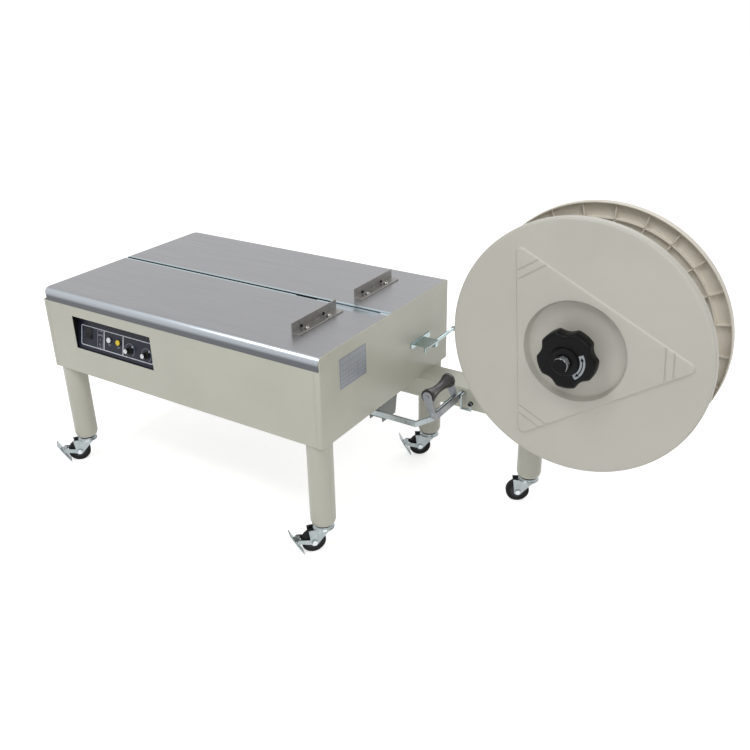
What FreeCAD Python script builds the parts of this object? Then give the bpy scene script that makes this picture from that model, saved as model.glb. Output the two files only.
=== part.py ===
import FreeCAD, Part
import math
import os

# A low strapping table on casters, with a strap reel on an outrigger beam beside it.
# Lengths are millimetres, angles are degrees. While it is modelled, X runs along the table, Y runs to the
# back and Z runs up from the floor, with the table centred on X = 0, Y = 0. The finished model is moved so
# that its origin is the bottom centre of its bounding box.

V = FreeCAD.Vector
X = V(1, 0, 0)
Y = V(0, 1, 0)
Z = V(0, 0, 1)
HERE = V(0, 0, 0)

# Table and covers
table_length = 895.0
table_depth = 586.0
table_height = 525.0
body_height = 225.0
cover_sheet = 1.5
cover_return = 14.0
cover_corner_r = 5.0
plate_sheet = 2.0
plate_lip = 33.0
plate_edge_r = 14.0
plate_corner_r = 20.0
gap_edge_r = 3.0
sheet_joint = 0.4
overrun = 1.0
running_fit = 0.05
free_gap = 0.3

# Strap gap between the two table plates
strap_gap = 10.0
strap_gap_y = 2.0
gap_end_inset = 169.5
slit_width = 2.0
head_inset = 241.5
head_notch = 84.0
head_opening = 66.0
head_opening_depth = 6.0
ramp_end_inset = 23.5
ramp_width = 28.0
ramp_dip = 2.5

# Box guides on the table
guide_inset = 131.5
guide_length = 174.0
guide_height = 27.0
guide_foot = 24.0
guide_sheet = 3.0
guide_offset = 41.0
guide_slot_length = 16.0
guide_slot_r = 3.2
guide_screws_share = (0.24, 0.74)
guide_hole_r = 2.8
guide_hole_rise = 9.0
guide_hole_offset = 8.0
guide_bend_share = 0.9

# Base tray inside the covers
tray_sheet = 3.0
tray_flange = 32.0
tray_window_x = 130.0
tray_window_y = 150.0
tray_window_r = 12.0
tray_windows_share = ((-0.33, -0.25), (-0.11, -0.25), (0.11, -0.25), (0.06, 0.25))

# Legs
leg_d = 62.0
leg_wall = 3.0
leg_inset = 33.5
leg_end_taper = 3.0
leg_end_length = 9.0
leg_cap_r = 20.0
leg_cap_height = 12.0

# Casters
caster_height = 78.0
wheel_d = 60.0
wheel_width = 20.0
wheel_edge_r = 4.0
wheel_recess_r = 20.0
wheel_recess_depth = 3.0
hub_overhang = 1.2
axle_r = 5.0
axle_head_r = 7.5
axle_head = 2.5
caster_trail = 27.0
swivel_disc_r = 25.0
swivel_disc = 4.0
swivel_neck_r = 12.0
swivel_neck = 3.0
stem_r = 8.0
stem_length = 30.0
crown_r = 24.0
crown_depth = 8.5
fork_sheet = 2.5
cheek_boss_r = 9.5
cheek_ear_r = 5.0
ear_trail = 37.0
ear_rise = 9.0
brake_sheet = 2.5
brake_width = 32.0
brake_pin_r = 2.5
brake_knuckle_r = 4.6
brake_top_trail = 57.0
brake_top_rise = 30.0
brake_mid_trail = 43.5
brake_mid_rise = 3.0
brake_toe_trail = 27.0
brake_toe_rise = -25.5
table_caster_headings = (-129.0, -129.0, -144.0, -144.0)
dispenser_caster_heading = -150.0

# Control recess in the front cover
panel_open_inset = 104.5
panel_open_length = 280.0
panel_open_drop = 61.0
panel_open_height = 90.0
panel_open_r = 2.0
panel_margin = 8.0
housing_wall = 2.0
housing_depth = 45.0
panel_depth = 15.5
panel_lean = 11.5
panel_sheet = 2.5
switch_offset = 38.0
switch_width = 21.0
switch_height = 28.0
switch_rise = 5.0
switch_neck = 9.0
button_r = 7.0
button_rise = 5.0
button_stem_r = 4.0
button_travel = 2.5
button_offsets = (115.0, 148.0)
button_lift = -4.0
dial_r = 9.5
dial_rise = 15.0
dial_cap_r = 6.0
dial_stem_r = 3.0
dial_offsets = (188.0, 247.0)
dial_drop = 16.0
panel_stem = 14.0
collar = 1.6

# Outrigger beam, its leg and the reel post
beam_inset = 59.5
beam_reach = 538.5
beam_leg_gap = 0.5
beam_depth = 86.0
beam_height = 58.0
beam_wall = 3.0
beam_edge_r = 4.0
outrigger_leg_reach = 302.5
post_foot = 8.0
post_foot_length = 130.0
post_width = 96.0
post_depth = 46.0
post_sheet = 4.0

# Reel
reel_reach = 481.5
reel_rise = 266.0
reel_stand_off = 52.0
reel_width = 165.0
flange_r = 275.0
flange_depth = 20.0
flange_sheet = 3.0
rim_edge_r = 5.0
inner_ring_share = 0.865
inner_ring_height = 12.0
rib_count = 24
rib_sheet = 2.5
rib_tail = 20.0
rib_phase_share = 0.15
emboss = 4.0
emboss_inradius = 126.0
emboss_corner_r = 13.0
emboss_bevel = 3.0
emboss_turn = 4.0
groove_width = 3.0
groove_depth = 1.4
groove_share = (0.66, 0.72)
recess_r = 109.0
recess_depth = 13.0
recess_draft = 5.0
drum_r = 97.0
drum_wall = 4.0
drum_rib_count = 8
sleeve_r = 24.0
spindle_r = 15.0
spindle_collar_r = 32.0
spindle_collar = 14.0
stud_rise = 95.0
stud_edge = 2.0
knob_neck_r = 26.0
knob_neck = 37.0
knob_r = 61.5
knob_depth = 30.0
knob_lobes = 5
knob_notch_r = 30.0
knob_notch_share = 1.365
knob_phase = 22.0
knob_edge_r = 6.0
knob_boss_r = 31.0
knob_boss = 7.0
knob_boss_share = 0.9
knob_lift = 0.3

# Strap roller on its arm, and the bent bar that carries it
bar_sheet = 6.0
bar_height = 14.0
bar_drop = 7.0
bar_corner_reach = 105.5
bar_corner_offset = 40.0
bar_turn_reach = 126.5
bar_turn_offset = 6.0
bar_tab_length = 44.0
arm_pivot_offset = 4.0
arm_pivot_rise = 2.0
arm_pin_r = 4.0
arm_knuckle_r = 8.5
roller_lean = 15.0
roller_rise = 42.0
arm_head_r = 12.5
arm_sheet = 3.0
roller_stand_off = 162.0
roller_length = 106.0
roller_r = 18.0
roller_neck_r = 10.5
roller_land = 7.0
roller_shaft_r = 4.0
lug_width = 9.0
lug_length = 10.0
lug_inset = 12.0
web_offset = 8.4
web_drop = 13.0
web_rise = 7.0

# Strap hook on the beam
hook_offset = 133.5
hook_below = 11.0
hook_wire_r = 3.0
hook_reach = 20.0
hook_drop = 36.0
hook_width = 26.0
hook_return = 18.0
hook_tip_r = 6.0
hook_tip = 9.0

# Strap guide on the right end cover
side_plate_y = 96.0
side_plate_length = 96.0
side_plate_below = 129.0
side_plate_height = 16.0
side_plate_sheet = 2.5
side_arm_length = 62.0
side_arm_reach = 48.0
side_rod_out = 37.5
side_rod_lift = 7.0
side_rod_r = 4.5
side_rod_start = 42.0
side_rod_length = 128.0
side_tip_r = 7.0
side_tip = 10.0
side_tip_share = 0.6
side_clamp_start = 46.0
side_clamp_width = 18.0
side_clamp_depth = 14.0
side_pin_start = 10.0
side_pin_r = 4.0
side_pin_length = 15.0

# Strap inlet under the right end
inlet_inset = 43.5
inlet_width = 34.0
inlet_bar_gap = 22.0
inlet_length = 80.0
inlet_drop = 56.0
inlet_sheet = 2.5
inlet_roller_r = 9.0
inlet_roller_drop = 41.0
inlet_roller_spread_share = 0.27

# Inner machinery
bed_height = 90.0
head_column_x = 96.0
head_column_y = 110.0
head_foot_height = 12.0
jaw_count = 3
jaw_width = 15.0
jaw_gap = 3.0
jaw_depth = 7.0
jaw_top_drop = 10.6
slider_length = 66.0
slider_depth = 34.0
slider_sheet = 4.0
slider_rail = 10.0
motor_r = 55.0
motor_length = 170.0
motor_stand_off = 241.0
motor_fin_count = 20
motor_fin = 5.0
motor_foot = 10.0
gearbox_y = 110.0
gearbox_length = 96.0
shaft_r = 10.0
shaft_length = 150.0
cam_count = 3
cam_r = 32.0
cam_throw = 8.0
cam_width = 12.0
cam_step = 40.0
transformer_gap = 22.0
transformer_y = 150.0
transformer_size = 86.0
transformer_coil_share = 0.62
control_box_inset = 117.5
control_box_gap = 3.0
control_box_length = 190.0
control_box_depth = 130.0
control_box_height = 95.0
left_post_share = 0.55
motor_post_gap = 35.0
head_post_gap = 127.0
centre_post_width = 30.0
centre_post_span = 66.0
centre_post_top = 6.0
gland_inset = 87.5
gland_rise = 40.0
gland_r = 9.0
gland_length = 14.0
vent_count = 9
vent_width = 5.0
vent_height = 60.0
vent_pitch = 14.0
vent_x = -40.0

parallel_share = 0.999
third_turn = 120.0
half_x = table_length / 2
half_y = table_depth / 2
plate_under = table_height - plate_sheet
cover_top = table_height - plate_lip - sheet_joint
body_base = table_height - body_height
leg_x = half_x - leg_inset
leg_y = half_y - leg_inset
gap_end_x = half_x - gap_end_inset
head_x = half_x - head_inset
ramp_end_x = half_x - ramp_end_inset
guide_x = half_x - guide_inset
slider_top = table_height - jaw_top_drop
panel_open_x = panel_open_inset - half_x
panel_open_top = table_height - panel_open_drop
switch_x = panel_open_x + switch_offset
button_xs = [panel_open_x + offset for offset in button_offsets]
dial_xs = [panel_open_x + offset for offset in dial_offsets]
gland_x = gland_inset - half_x
gland_z = body_base + gland_rise
inlet_x = half_x - inlet_inset
beam_x = half_x - beam_inset
beam_end_x = half_x + beam_reach
beam_y = leg_y - leg_d / 2 - beam_leg_gap - beam_depth
outrigger_leg_x = half_x + outrigger_leg_reach
reel_x = half_x + reel_reach
reel_z = body_base + reel_rise
reel_front_y = beam_y - reel_stand_off - reel_width
roller_front_y = beam_y - roller_stand_off
bar_top = body_base - bar_drop
bar_corner = V(half_x + bar_corner_reach, roller_front_y - bar_corner_offset, 0)
bar_start = V(beam_x, bar_corner.y, 0)
inlet_y = bar_start.y + inlet_bar_gap
bar_turn = V(half_x + bar_turn_reach, roller_front_y + bar_turn_offset, 0)
arm_pivot = V(bar_turn.x + arm_pivot_offset, 0, body_base + arm_pivot_rise)
roller_axis = V(arm_pivot.x - roller_lean, 0, arm_pivot.z + roller_rise)
hook_x = half_x + hook_offset
hook_z = body_base - hook_below
side_plate_z = table_height - side_plate_below
side_rod_z = side_plate_z + side_rod_lift
motor_x = head_x - motor_stand_off
motor_low_x = motor_x - motor_length / 2
control_box_x = control_box_inset - half_x
control_box_y = strap_gap_y + motor_r + control_box_gap + control_box_depth / 2
transformer_x = control_box_x + control_box_length / 2 + transformer_gap + transformer_size / 2
nodes = {}


def block(low, high):
    """A box between two opposite corners."""
    size = high - low
    return Part.makeBox(size.x, size.y, size.z, low)


def slab(x_span, y_span, z_span):
    """A box from three (low, high) spans."""
    return block(V(x_span[0], y_span[0], z_span[0]), V(x_span[1], y_span[1], z_span[1]))


def rod(start, direction, radius, length):
    """A solid cylinder."""
    return Part.makeCylinder(radius, length, start, direction)


def pipe(start, direction, outer_r, inner_r, length):
    """A hollow cylinder."""
    return rod(start, direction, outer_r, length).cut(rod(start, direction, inner_r, length))


def prism(points, sweep):
    """A closed polygon swept along a straight line."""
    return Part.Face(Part.makePolygon(points + points[:1])).extrude(sweep)


def hexagon(start, corner_r, length):
    """A hexagonal bar along Y."""
    turns = [math.pi / 3 * step for step in range(6)]
    return prism([start + V(corner_r * math.cos(turn), 0, corner_r * math.sin(turn)) for turn in turns],
                 Y * length)


def turned(points, start, direction, side):
    """A closed outline of (radius, height) points, turned about an axis."""
    outline = [start + side * radius + direction * height for radius, height in points]
    return Part.Face(Part.makePolygon(outline + outline[:1])).revolve(start, direction, 360)


def lines_along(shape, axis, keep=None):
    """The straight edges that run along an axis, where keep accepts their middle."""
    found = []
    for edge in shape.Edges:
        if edge.Curve.TypeId != "Part::GeomLine":
            continue
        run = edge.Vertexes[-1].Point - edge.Vertexes[0].Point
        if abs(run.dot(axis)) < parallel_share * run.Length:
            continue
        if keep is None or keep(edge.CenterOfMass):
            found.append(edge)
    return found


def circles_at(shape, point, axis, radius):
    """The circular edges of one radius whose plane holds a point and is square to an axis."""
    found = []
    for edge in shape.Edges:
        if edge.Curve.TypeId != "Part::GeomCircle":
            continue
        same_plane = abs((edge.Curve.Center - point).dot(axis)) < free_gap
        if same_plane and abs(edge.Curve.Radius - radius) < free_gap:
            found.append(edge)
    return found


def joined(shapes):
    """One solid from touching shapes."""
    whole = shapes[0]
    for shape in shapes[1:]:
        whole = whole.fuse(shape)
    return whole.removeSplitter()


def strip(points, thickness, height):
    """A flat bar on edge that follows points in plan, with round bends."""
    pieces = []
    for a, b in zip(points, points[1:]):
        run = (b - a).normalize()
        side = Z.cross(run) * (thickness / 2)
        pieces.append(prism([a - side, b - side, b + side, a + side], Z * height))
    for bend in points[1:-1]:
        pieces.append(rod(bend, Z, thickness / 2, height))
    return joined(pieces)


def capsule(a, b, r_a, r_b, axis, thickness):
    """A plate with round ends of two radii about two points, thick along an axis."""
    run = b - a
    reach = run.Length
    run = run.normalize()
    side = axis.cross(run)
    lean = math.asin((r_a - r_b) / reach)
    normal_up = side * math.cos(lean) + run * math.sin(lean)
    normal_down = run * math.sin(lean) - side * math.cos(lean)
    web = prism([a + normal_up * r_a, b + normal_up * r_b, b + normal_down * r_b, a + normal_down * r_a],
                axis * thickness)
    return joined([web, rod(a, axis, r_a, thickness), rod(b, axis, r_b, thickness)])


# Table plates, with the gap that the strap runs in
gap_front = strap_gap_y - strap_gap / 2
gap_rear = strap_gap_y + strap_gap / 2
slit_front = strap_gap_y - slit_width / 2
slit_rear = strap_gap_y + slit_width / 2
plate_right = half_x - cover_sheet - sheet_joint
plate_low = table_height - plate_lip
lip_notch_top = slider_top + free_gap


def rolled_block(low, high, inset):
    """A block with round left corners and rolled top edges, smaller by an inset on every side but below."""
    body = block(V(low.x + inset, low.y + inset, low.z - inset),
                 V(high.x - inset, high.y - inset, high.z - inset))
    body = body.makeFillet(plate_corner_r - inset, lines_along(body, Z, lambda p: p.x < 0))
    top = high.z - inset
    rim = [edge for edge in body.Edges if abs(edge.BoundBox.ZMin - top) < free_gap]
    return body.makeFillet(plate_edge_r - inset, rim)


def table_pan(gap_y, side):
    """A plate with rolled outer edges, a tight bend at the strap gap and a square end at the right cover."""
    spare = 2 * plate_corner_r
    low = V(-half_x, min(side * half_y, gap_y - side * spare), plate_low)
    high = V(plate_right + spare, max(side * half_y, gap_y - side * spare), table_height)
    outer = rolled_block(low, high, 0)
    bend_width = 2 * gap_edge_r
    keep_y = sorted((side * (half_y + overrun), gap_y + side * bend_width))
    z_span = (plate_low - overrun, table_height + overrun)
    flat = outer.cut(rolled_block(low, high, plate_sheet))
    flat = flat.common(slab((-half_x - overrun, plate_right), keep_y, z_span))
    bend_y = sorted((gap_y, gap_y + side * bend_width))
    bend = slab((-half_x, plate_right), bend_y, (plate_low, table_height))
    at_gap = lines_along(bend, X, lambda p: abs(p.y - gap_y) < free_gap and p.z > plate_under)
    bend = bend.makeFillet(gap_edge_r, at_gap)
    hollow_y = sorted((gap_y + side * plate_sheet, gap_y + side * plate_edge_r))
    bend = bend.cut(slab((-half_x - overrun, plate_right + overrun), hollow_y,
                         (plate_low - overrun, plate_under)))
    return joined([flat, bend.common(outer)])


def front_table_plate():
    through = (plate_low - overrun, table_height + overrun)
    tongue = slab((ramp_end_x, plate_right), (gap_front - plate_edge_r, slit_front),
                  (plate_under, table_height))
    ramp_hole = slab((gap_end_x, ramp_end_x), (gap_front - ramp_width, slit_front), through)
    notch = slab((head_x - head_notch / 2, head_x + head_notch / 2),
                 (gap_front - plate_sheet - overrun, gap_front + overrun),
                 (plate_low - overrun, lip_notch_top))
    opening = slab((head_x - head_opening / 2, head_x + head_opening / 2),
                   (gap_front - head_opening_depth, gap_front + overrun), through)
    return table_pan(gap_front, -1).fuse(tongue).cut(ramp_hole).cut(notch).cut(opening).removeSplitter()


def rear_table_plate():
    tongue = slab((gap_end_x, plate_right), (slit_rear, gap_rear + plate_edge_r), (plate_under, table_height))
    notch = slab((head_x - head_notch / 2, head_x + head_notch / 2),
                 (gap_rear - overrun, gap_rear + plate_sheet + overrun), (plate_low - overrun, lip_notch_top))
    return table_pan(gap_rear, 1).fuse(tongue).cut(notch).removeSplitter()


def strap_ramp():
    """A shallow dished channel in the front plate that leads the strap end into the gap."""
    x_low = gap_end_x + sheet_joint
    x_high = ramp_end_x - sheet_joint
    y_low = gap_front - ramp_width + sheet_joint
    y_high = slit_front
    dip = table_height - ramp_dip
    outline = [V(x_low, y_low, table_height), V(x_low, y_high - ramp_width / 3, dip), V(x_low, y_high, dip),
               V(x_low, y_high, dip - plate_sheet), V(x_low, y_high - ramp_width / 3, dip - plate_sheet),
               V(x_low, y_low, table_height - plate_sheet * 2)]
    floor = prism(outline, X * (x_high - x_low))
    ends = [prism([V(x, y_low, table_height), V(x, y_high, table_height), V(x, y_high, dip - plate_sheet),
                   V(x, y_low, table_height - plate_sheet * 2)], X * plate_sheet)
            for x in (x_low, x_high - plate_sheet)]
    return joined([floor] + ends)


def guide_bracket(side):
    """An angle plate that squares the box; side is -1 in front of the gap and 1 behind it."""
    y_low = strap_gap_y + min(side * guide_offset, side * (guide_offset + guide_length))
    y_high = y_low + guide_length
    low = table_height
    wall = slab((guide_x, guide_x + guide_sheet), (y_low, y_high), (low, low + guide_height))
    foot = slab((guide_x, guide_x + guide_foot), (y_low, y_high), (low, low + guide_sheet))
    bracket = joined([wall, foot])
    heel = lines_along(bracket, Y, lambda p: abs(p.x - guide_x) < free_gap and abs(p.z - low) < free_gap)
    bracket = bracket.makeFillet(guide_sheet * guide_bend_share, heel)
    through = guide_sheet + 2 * overrun
    slot_x = guide_x + (guide_sheet + guide_foot) / 2
    for share in guide_screws_share:
        y = y_low + guide_length * share
        slot_start = V(slot_x, y - guide_slot_length / 2, low - overrun)
        slot_end = V(slot_x, y + guide_slot_length / 2, low - overrun)
        slot = capsule(slot_start, slot_end, guide_slot_r, guide_slot_r, Z, through)
        hole = rod(V(guide_x - overrun, y - guide_hole_offset, low + guide_hole_rise), X, guide_hole_r,
                   through)
        bracket = bracket.cut(slot).cut(hole)
    return bracket


# Covers
def end_cover(side, top):
    """A full-depth end pan; side is -1 on the left and 1 on the right."""
    outer = half_x
    x_out = (outer - cover_return, outer) if side > 0 else (-outer, cover_return - outer)
    shell = slab(x_out, (-half_y, half_y), (body_base, top))
    corners = lines_along(shell, Z, lambda p: abs(p.x) > outer - free_gap)
    shell = shell.makeFillet(cover_corner_r, corners)
    x_in = (outer - cover_return - overrun, outer - cover_sheet)
    x_in = x_in if side > 0 else (-x_in[1], -x_in[0])
    inner = slab(x_in, (-half_y + cover_sheet, half_y - cover_sheet),
                 (body_base + cover_sheet, top + overrun))
    inner_corners = lines_along(inner, Z, lambda p: abs(p.x) > outer - cover_sheet - free_gap)
    return shell.cut(inner.makeFillet(cover_corner_r - cover_sheet, inner_corners))


long_cover_x = half_x - cover_return - sheet_joint


def long_cover(side):
    """A long cover between the end pans; side is -1 at the front and 1 at the back."""
    y_out = (half_y - cover_return, half_y)
    y_in = (half_y - cover_return - overrun, half_y - cover_sheet)
    if side < 0:
        y_out = (-y_out[1], -y_out[0])
        y_in = (-y_in[1], -y_in[0])
    shell = slab((-long_cover_x, long_cover_x), y_out, (body_base, cover_top))
    return shell.cut(slab((-long_cover_x - overrun, long_cover_x + overrun), y_in,
                          (body_base + cover_sheet, cover_top + overrun)))


panel_open_bottom = panel_open_top - panel_open_height
panel_mid_z = (panel_open_top + panel_open_bottom) / 2


def leg_relief(shape, sides):
    """A cover's bottom return, cut back round the legs."""
    for x, y in sides:
        shape = shape.cut(rod(V(x, y, body_base - overrun), Z, leg_d / 2 + free_gap,
                              cover_sheet + 2 * overrun))
    return shape


leg_places = [("front_left_leg", -leg_x, -leg_y), ("front_right_leg", leg_x, -leg_y),
              ("rear_left_leg", -leg_x, leg_y), ("rear_right_leg", leg_x, leg_y)]
leg_spots = [(x, y) for name, x, y in leg_places]


def front_cover():
    cover = leg_relief(long_cover(-1), leg_spots)
    hole = slab((panel_open_x, panel_open_x + panel_open_length),
                (-half_y - overrun, -half_y + cover_sheet + overrun),
                (panel_open_bottom, panel_open_top))
    return cover.cut(hole.makeFillet(panel_open_r, lines_along(hole, Y)))


def right_end_cover():
    """The end pan whose sheet stands up to the table's top, with its returns cut away under the plates."""
    cover = leg_relief(end_cover(1, table_height), leg_spots).cut(inlet_hole())
    cover = cover.cut(slab((half_x - cover_return - overrun, half_x - cover_sheet),
                           (-half_y - overrun, half_y + overrun), (cover_top, table_height + overrun)))
    x_out = half_x - cover_return - overrun
    for side in (-1, 1):
        inside = side * (half_y - plate_edge_r)
        corner = slab((x_out, half_x + overrun), sorted((inside, side * (half_y + overrun))),
                      (table_height - plate_edge_r, table_height + overrun))
        round_part = rod(V(x_out, inside, table_height - plate_edge_r), X, plate_edge_r,
                         cover_return + 2 * overrun)
        cover = cover.cut(corner.cut(round_part))
    return cover


def rear_cover():
    cover = leg_relief(long_cover(1), leg_spots)
    for index in range(vent_count):
        x = vent_x + (index - (vent_count - 1) / 2) * vent_pitch
        top = V(x, half_y - cover_sheet - overrun, panel_mid_z + vent_height / 2)
        foot = V(x, half_y - cover_sheet - overrun, panel_mid_z - vent_height / 2)
        cover = cover.cut(capsule(foot, top, vent_width / 2, vent_width / 2, Y, cover_sheet + 2 * overrun))
    gland_hole = rod(V(gland_x, half_y - cover_sheet - overrun, gland_z), Y, gland_r * 0.7,
                     cover_sheet + 2 * overrun)
    return cover.cut(gland_hole)


def cable_gland():
    start = V(gland_x, half_y, gland_z)
    nut = hexagon(start, gland_r, gland_length / 2)
    dome = Part.makeCone(gland_r * 0.8, gland_r * 0.55, gland_length / 2, start + Y * (gland_length / 2), Y)
    neck = rod(start - Y * (cover_sheet * 2), Y, gland_r * 0.7 - running_fit, cover_sheet * 2)
    bore = rod(start - Y * gland_length, Y, gland_r * 0.4, gland_length * 3)
    return joined([nut, dome, neck]).cut(bore)


# Base tray
def inlet_hole():
    """The space over the strap inlet, through the tray and the right cover's bottom return."""
    return slab((inlet_x, inlet_x + inlet_width), (inlet_y + inlet_sheet,
                                                   inlet_y + inlet_length - inlet_sheet),
                (body_base - overrun, body_base + tray_flange + overrun))


def base_tray():
    x_out = half_x - cover_sheet - sheet_joint
    y_out = half_y - cover_return - sheet_joint
    x_in = x_out - cover_return
    shell = slab((-x_in, x_in), (-y_out, y_out), (body_base, body_base + tray_flange))
    shell = shell.cut(slab((tray_sheet - x_in, x_in - tray_sheet), (tray_sheet - y_out, y_out - tray_sheet),
                           (body_base + tray_sheet, body_base + tray_flange + overrun)))
    for x, y in leg_spots:
        shell = shell.cut(rod(V(x, y, body_base - overrun), Z, leg_d / 2, tray_flange + 2 * overrun))
    for x_share, y_share in tray_windows_share:
        centre = V(table_length * x_share, table_depth * y_share, 0)
        window = slab((centre.x - tray_window_x / 2, centre.x + tray_window_x / 2),
                      (centre.y - tray_window_y / 2, centre.y + tray_window_y / 2),
                      (body_base - overrun, body_base + tray_sheet + overrun))
        shell = shell.cut(window.makeFillet(tray_window_r, lines_along(window, Z)))
    return shell.cut(inlet_hole())


# Legs and casters
def leg(x, y, top, cap):
    """A round tube leg with a drawn-in foot and a closed top; cap is the height of the pad on it, or zero."""
    r = leg_d / 2
    foot = caster_height + leg_end_length
    shoulder = top - cap
    ceiling = shoulder - leg_wall
    profile = [(stem_r, caster_height), (r - leg_end_taper, caster_height), (r, foot), (r, shoulder),
               (0, shoulder),
               (0, ceiling), (r - leg_wall, ceiling), (r - leg_wall, foot), (stem_r, foot)]
    tube = turned(profile, V(x, y, 0), Z, X)
    return joined([tube, rod(V(x, y, shoulder), Z, leg_cap_r, cap)]) if cap else tube


def caster_stem(x, y):
    """The threaded stem and the fixed half of the swivel, in a leg's foot."""
    base = caster_height - swivel_disc
    disc = turned([(0, base), (swivel_disc_r * 0.8, base), (swivel_disc_r, base + swivel_disc / 2),
                   (swivel_disc_r, caster_height), (0, caster_height)], V(x, y, 0), Z, X)
    neck = rod(V(x, y, base - swivel_neck), Z, swivel_neck_r, swivel_neck)
    stem = rod(V(x, y, caster_height), Z, stem_r, stem_length)
    return joined([disc, neck, stem])


fork_top = caster_height - swivel_disc - swivel_neck
crown_base = fork_top - crown_depth
wheel_z = wheel_d / 2
hub_half = wheel_width / 2 + hub_overhang
cheek_in = hub_half + free_gap
cheek_out = cheek_in + fork_sheet


def caster_fork(braked):
    """A swivel fork in its own frame: swivel axis on Z, wheel trailing along +X, cheeks square to Y."""
    crown = turned([(0, crown_base + crown_depth / 2), (crown_r, crown_base),
                    (crown_r + fork_sheet, crown_base),
                    (crown_r * 0.7, fork_top), (0, fork_top)], HERE, Z, X)
    axle = V(caster_trail, 0, wheel_z)
    ear = V(caster_trail + ear_trail, 0, wheel_z + ear_rise)
    pieces = [crown]
    for side in (-1, 1):
        face = V(0, side * cheek_out if side < 0 else cheek_in, 0)
        outline = [V(-crown_r * 0.75, 0, crown_base + fork_sheet),
                   V(-crown_r * 0.6, 0, crown_base - fork_sheet),
                   V(caster_trail - cheek_boss_r * 0.8, 0, wheel_z - cheek_boss_r * 0.6),
                   V(caster_trail + cheek_boss_r * 0.9, 0, wheel_z - cheek_boss_r * 0.4),
                   V(caster_trail + cheek_boss_r * 1.4, 0, crown_base + fork_sheet)]
        pieces.append(prism([point + face for point in outline], Y * fork_sheet))
        pieces.append(rod(axle + face, Y, cheek_boss_r, fork_sheet))
        if braked:
            pieces.append(capsule(axle + face, ear + face, cheek_boss_r * 0.7, cheek_ear_r, Y, fork_sheet))
    pieces.append(rod(axle - Y * (cheek_out + axle_head), Y, axle_r, 2 * (cheek_out + axle_head)))
    for y in (-cheek_out - axle_head, cheek_out):
        pieces.append(rod(axle + Y * y, Y, axle_head_r, axle_head))
    if braked:
        pieces.append(rod(ear - Y * cheek_out, Y, brake_pin_r, 2 * cheek_out))
    fork = joined(pieces)
    over_wheel = rod(axle - Y * cheek_in, Y, wheel_d / 2 + overrun, 2 * cheek_in)
    return fork.cut(over_wheel.cut(rod(axle - Y * cheek_in, Y, axle_r, 2 * cheek_in))).cut(
        rod(V(0, 0, 0), Z, swivel_neck_r * 0.5, crown_base))


def caster_wheel():
    """A wheel with a moulded hub, in the fork's frame."""
    r = wheel_d / 2
    half = wheel_width / 2
    bore = axle_r + running_fit
    web = half - wheel_recess_depth
    boss = cheek_boss_r
    outline = [(bore, -hub_half), (boss, -hub_half), (boss, -web), (wheel_recess_r, -web),
               (wheel_recess_r + wheel_recess_depth / 2, -half), (r - wheel_edge_r, -half),
               (r - wheel_edge_r / 4, -half + wheel_edge_r / 3), (r, -half + wheel_edge_r)]
    outline += [(radius, -height) for radius, height in reversed(outline)]
    return turned(outline, V(caster_trail, 0, wheel_z), Y, X)


def brake_lever():
    """A bent stopper plate with an upper and a lower wing, on a pin across the fork's ears."""
    axle = V(caster_trail, 0, wheel_z)
    points = [(brake_top_trail, brake_top_rise), (brake_mid_trail, brake_mid_rise),
              (brake_toe_trail, brake_toe_rise)]
    half = brake_width / 2
    pieces = []
    for (u0, v0), (u1, v1) in zip(points, points[1:]):
        a = axle + V(u0, -half, v0)
        b = axle + V(u1, -half, v1)
        side = Y.cross((b - a).normalize()) * (brake_sheet / 2)
        pieces.append(prism([a - side, b - side, b + side, a + side], Y * brake_width))
    for u, v in points:
        pieces.append(rod(axle + V(u, -half, v), Y, brake_sheet / 2, brake_width))
    ear = axle + V(ear_trail, 0, ear_rise)
    knuckle = rod(ear - Y * (cheek_in - free_gap), Y, brake_knuckle_r, 2 * (cheek_in - free_gap))
    bridge = slab((ear.x, axle.x + brake_mid_trail + brake_sheet), (free_gap - cheek_in, cheek_in - free_gap),
                  (ear.z - brake_sheet, ear.z + brake_sheet))
    lever = joined(pieces + [knuckle, bridge])
    for side in (-1, 1):
        y = (cheek_in - free_gap, half + overrun) if side > 0 else (-half - overrun, free_gap - cheek_in)
        reach = cheek_ear_r + free_gap * 2
        lever = lever.cut(rod(V(ear.x, y[0], ear.z), Y, reach, y[1] - y[0]))
    return lever.cut(rod(ear - Y * half, Y, brake_pin_r + running_fit, brake_width))


def placed_caster(shape, x, y, heading):
    """A caster piece, turned to its heading about the leg's axis and moved under the leg."""
    turned_shape = shape.copy()
    turned_shape.rotate(HERE, Z, heading)
    turned_shape.translate(V(x, y, 0))
    return turned_shape


caster_spots = [(name.replace("_leg", ""), x, y, heading)
                for (name, x, y), heading in zip(leg_places, table_caster_headings)]
outrigger_leg_y = beam_y + beam_depth / 2
caster_spots.append(("outrigger", outrigger_leg_x, outrigger_leg_y, dispenser_caster_heading))


# Control recess
panel_x0 = panel_open_x - panel_margin
panel_x1 = panel_open_x + panel_open_length + panel_margin
housing_low = panel_open_bottom - panel_margin
housing_high = panel_open_top + panel_margin
cover_back = -half_y + cover_sheet
panel_centre = V(panel_open_x + panel_open_length / 2, -half_y + panel_depth, panel_mid_z)


def leaned(shape):
    """A piece drawn on an upright panel, leaned back with the panel."""
    tipped = shape.copy()
    tipped.rotate(panel_centre, X, -panel_lean)
    return tipped


def control_housing():
    """The moulded box behind the opening; its floor ramps with the panel."""
    outer = slab((panel_x0, panel_x1), (cover_back, cover_back + housing_depth), (housing_low, housing_high))
    inner = slab((panel_x0 + housing_wall, panel_x1 - housing_wall),
                 (cover_back - overrun, cover_back + housing_depth - housing_wall),
                 (housing_low + housing_wall, housing_high - housing_wall))
    outer = outer.makeFillet(panel_open_r * 2, lines_along(outer, Y))
    return outer.cut(inner)


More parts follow.
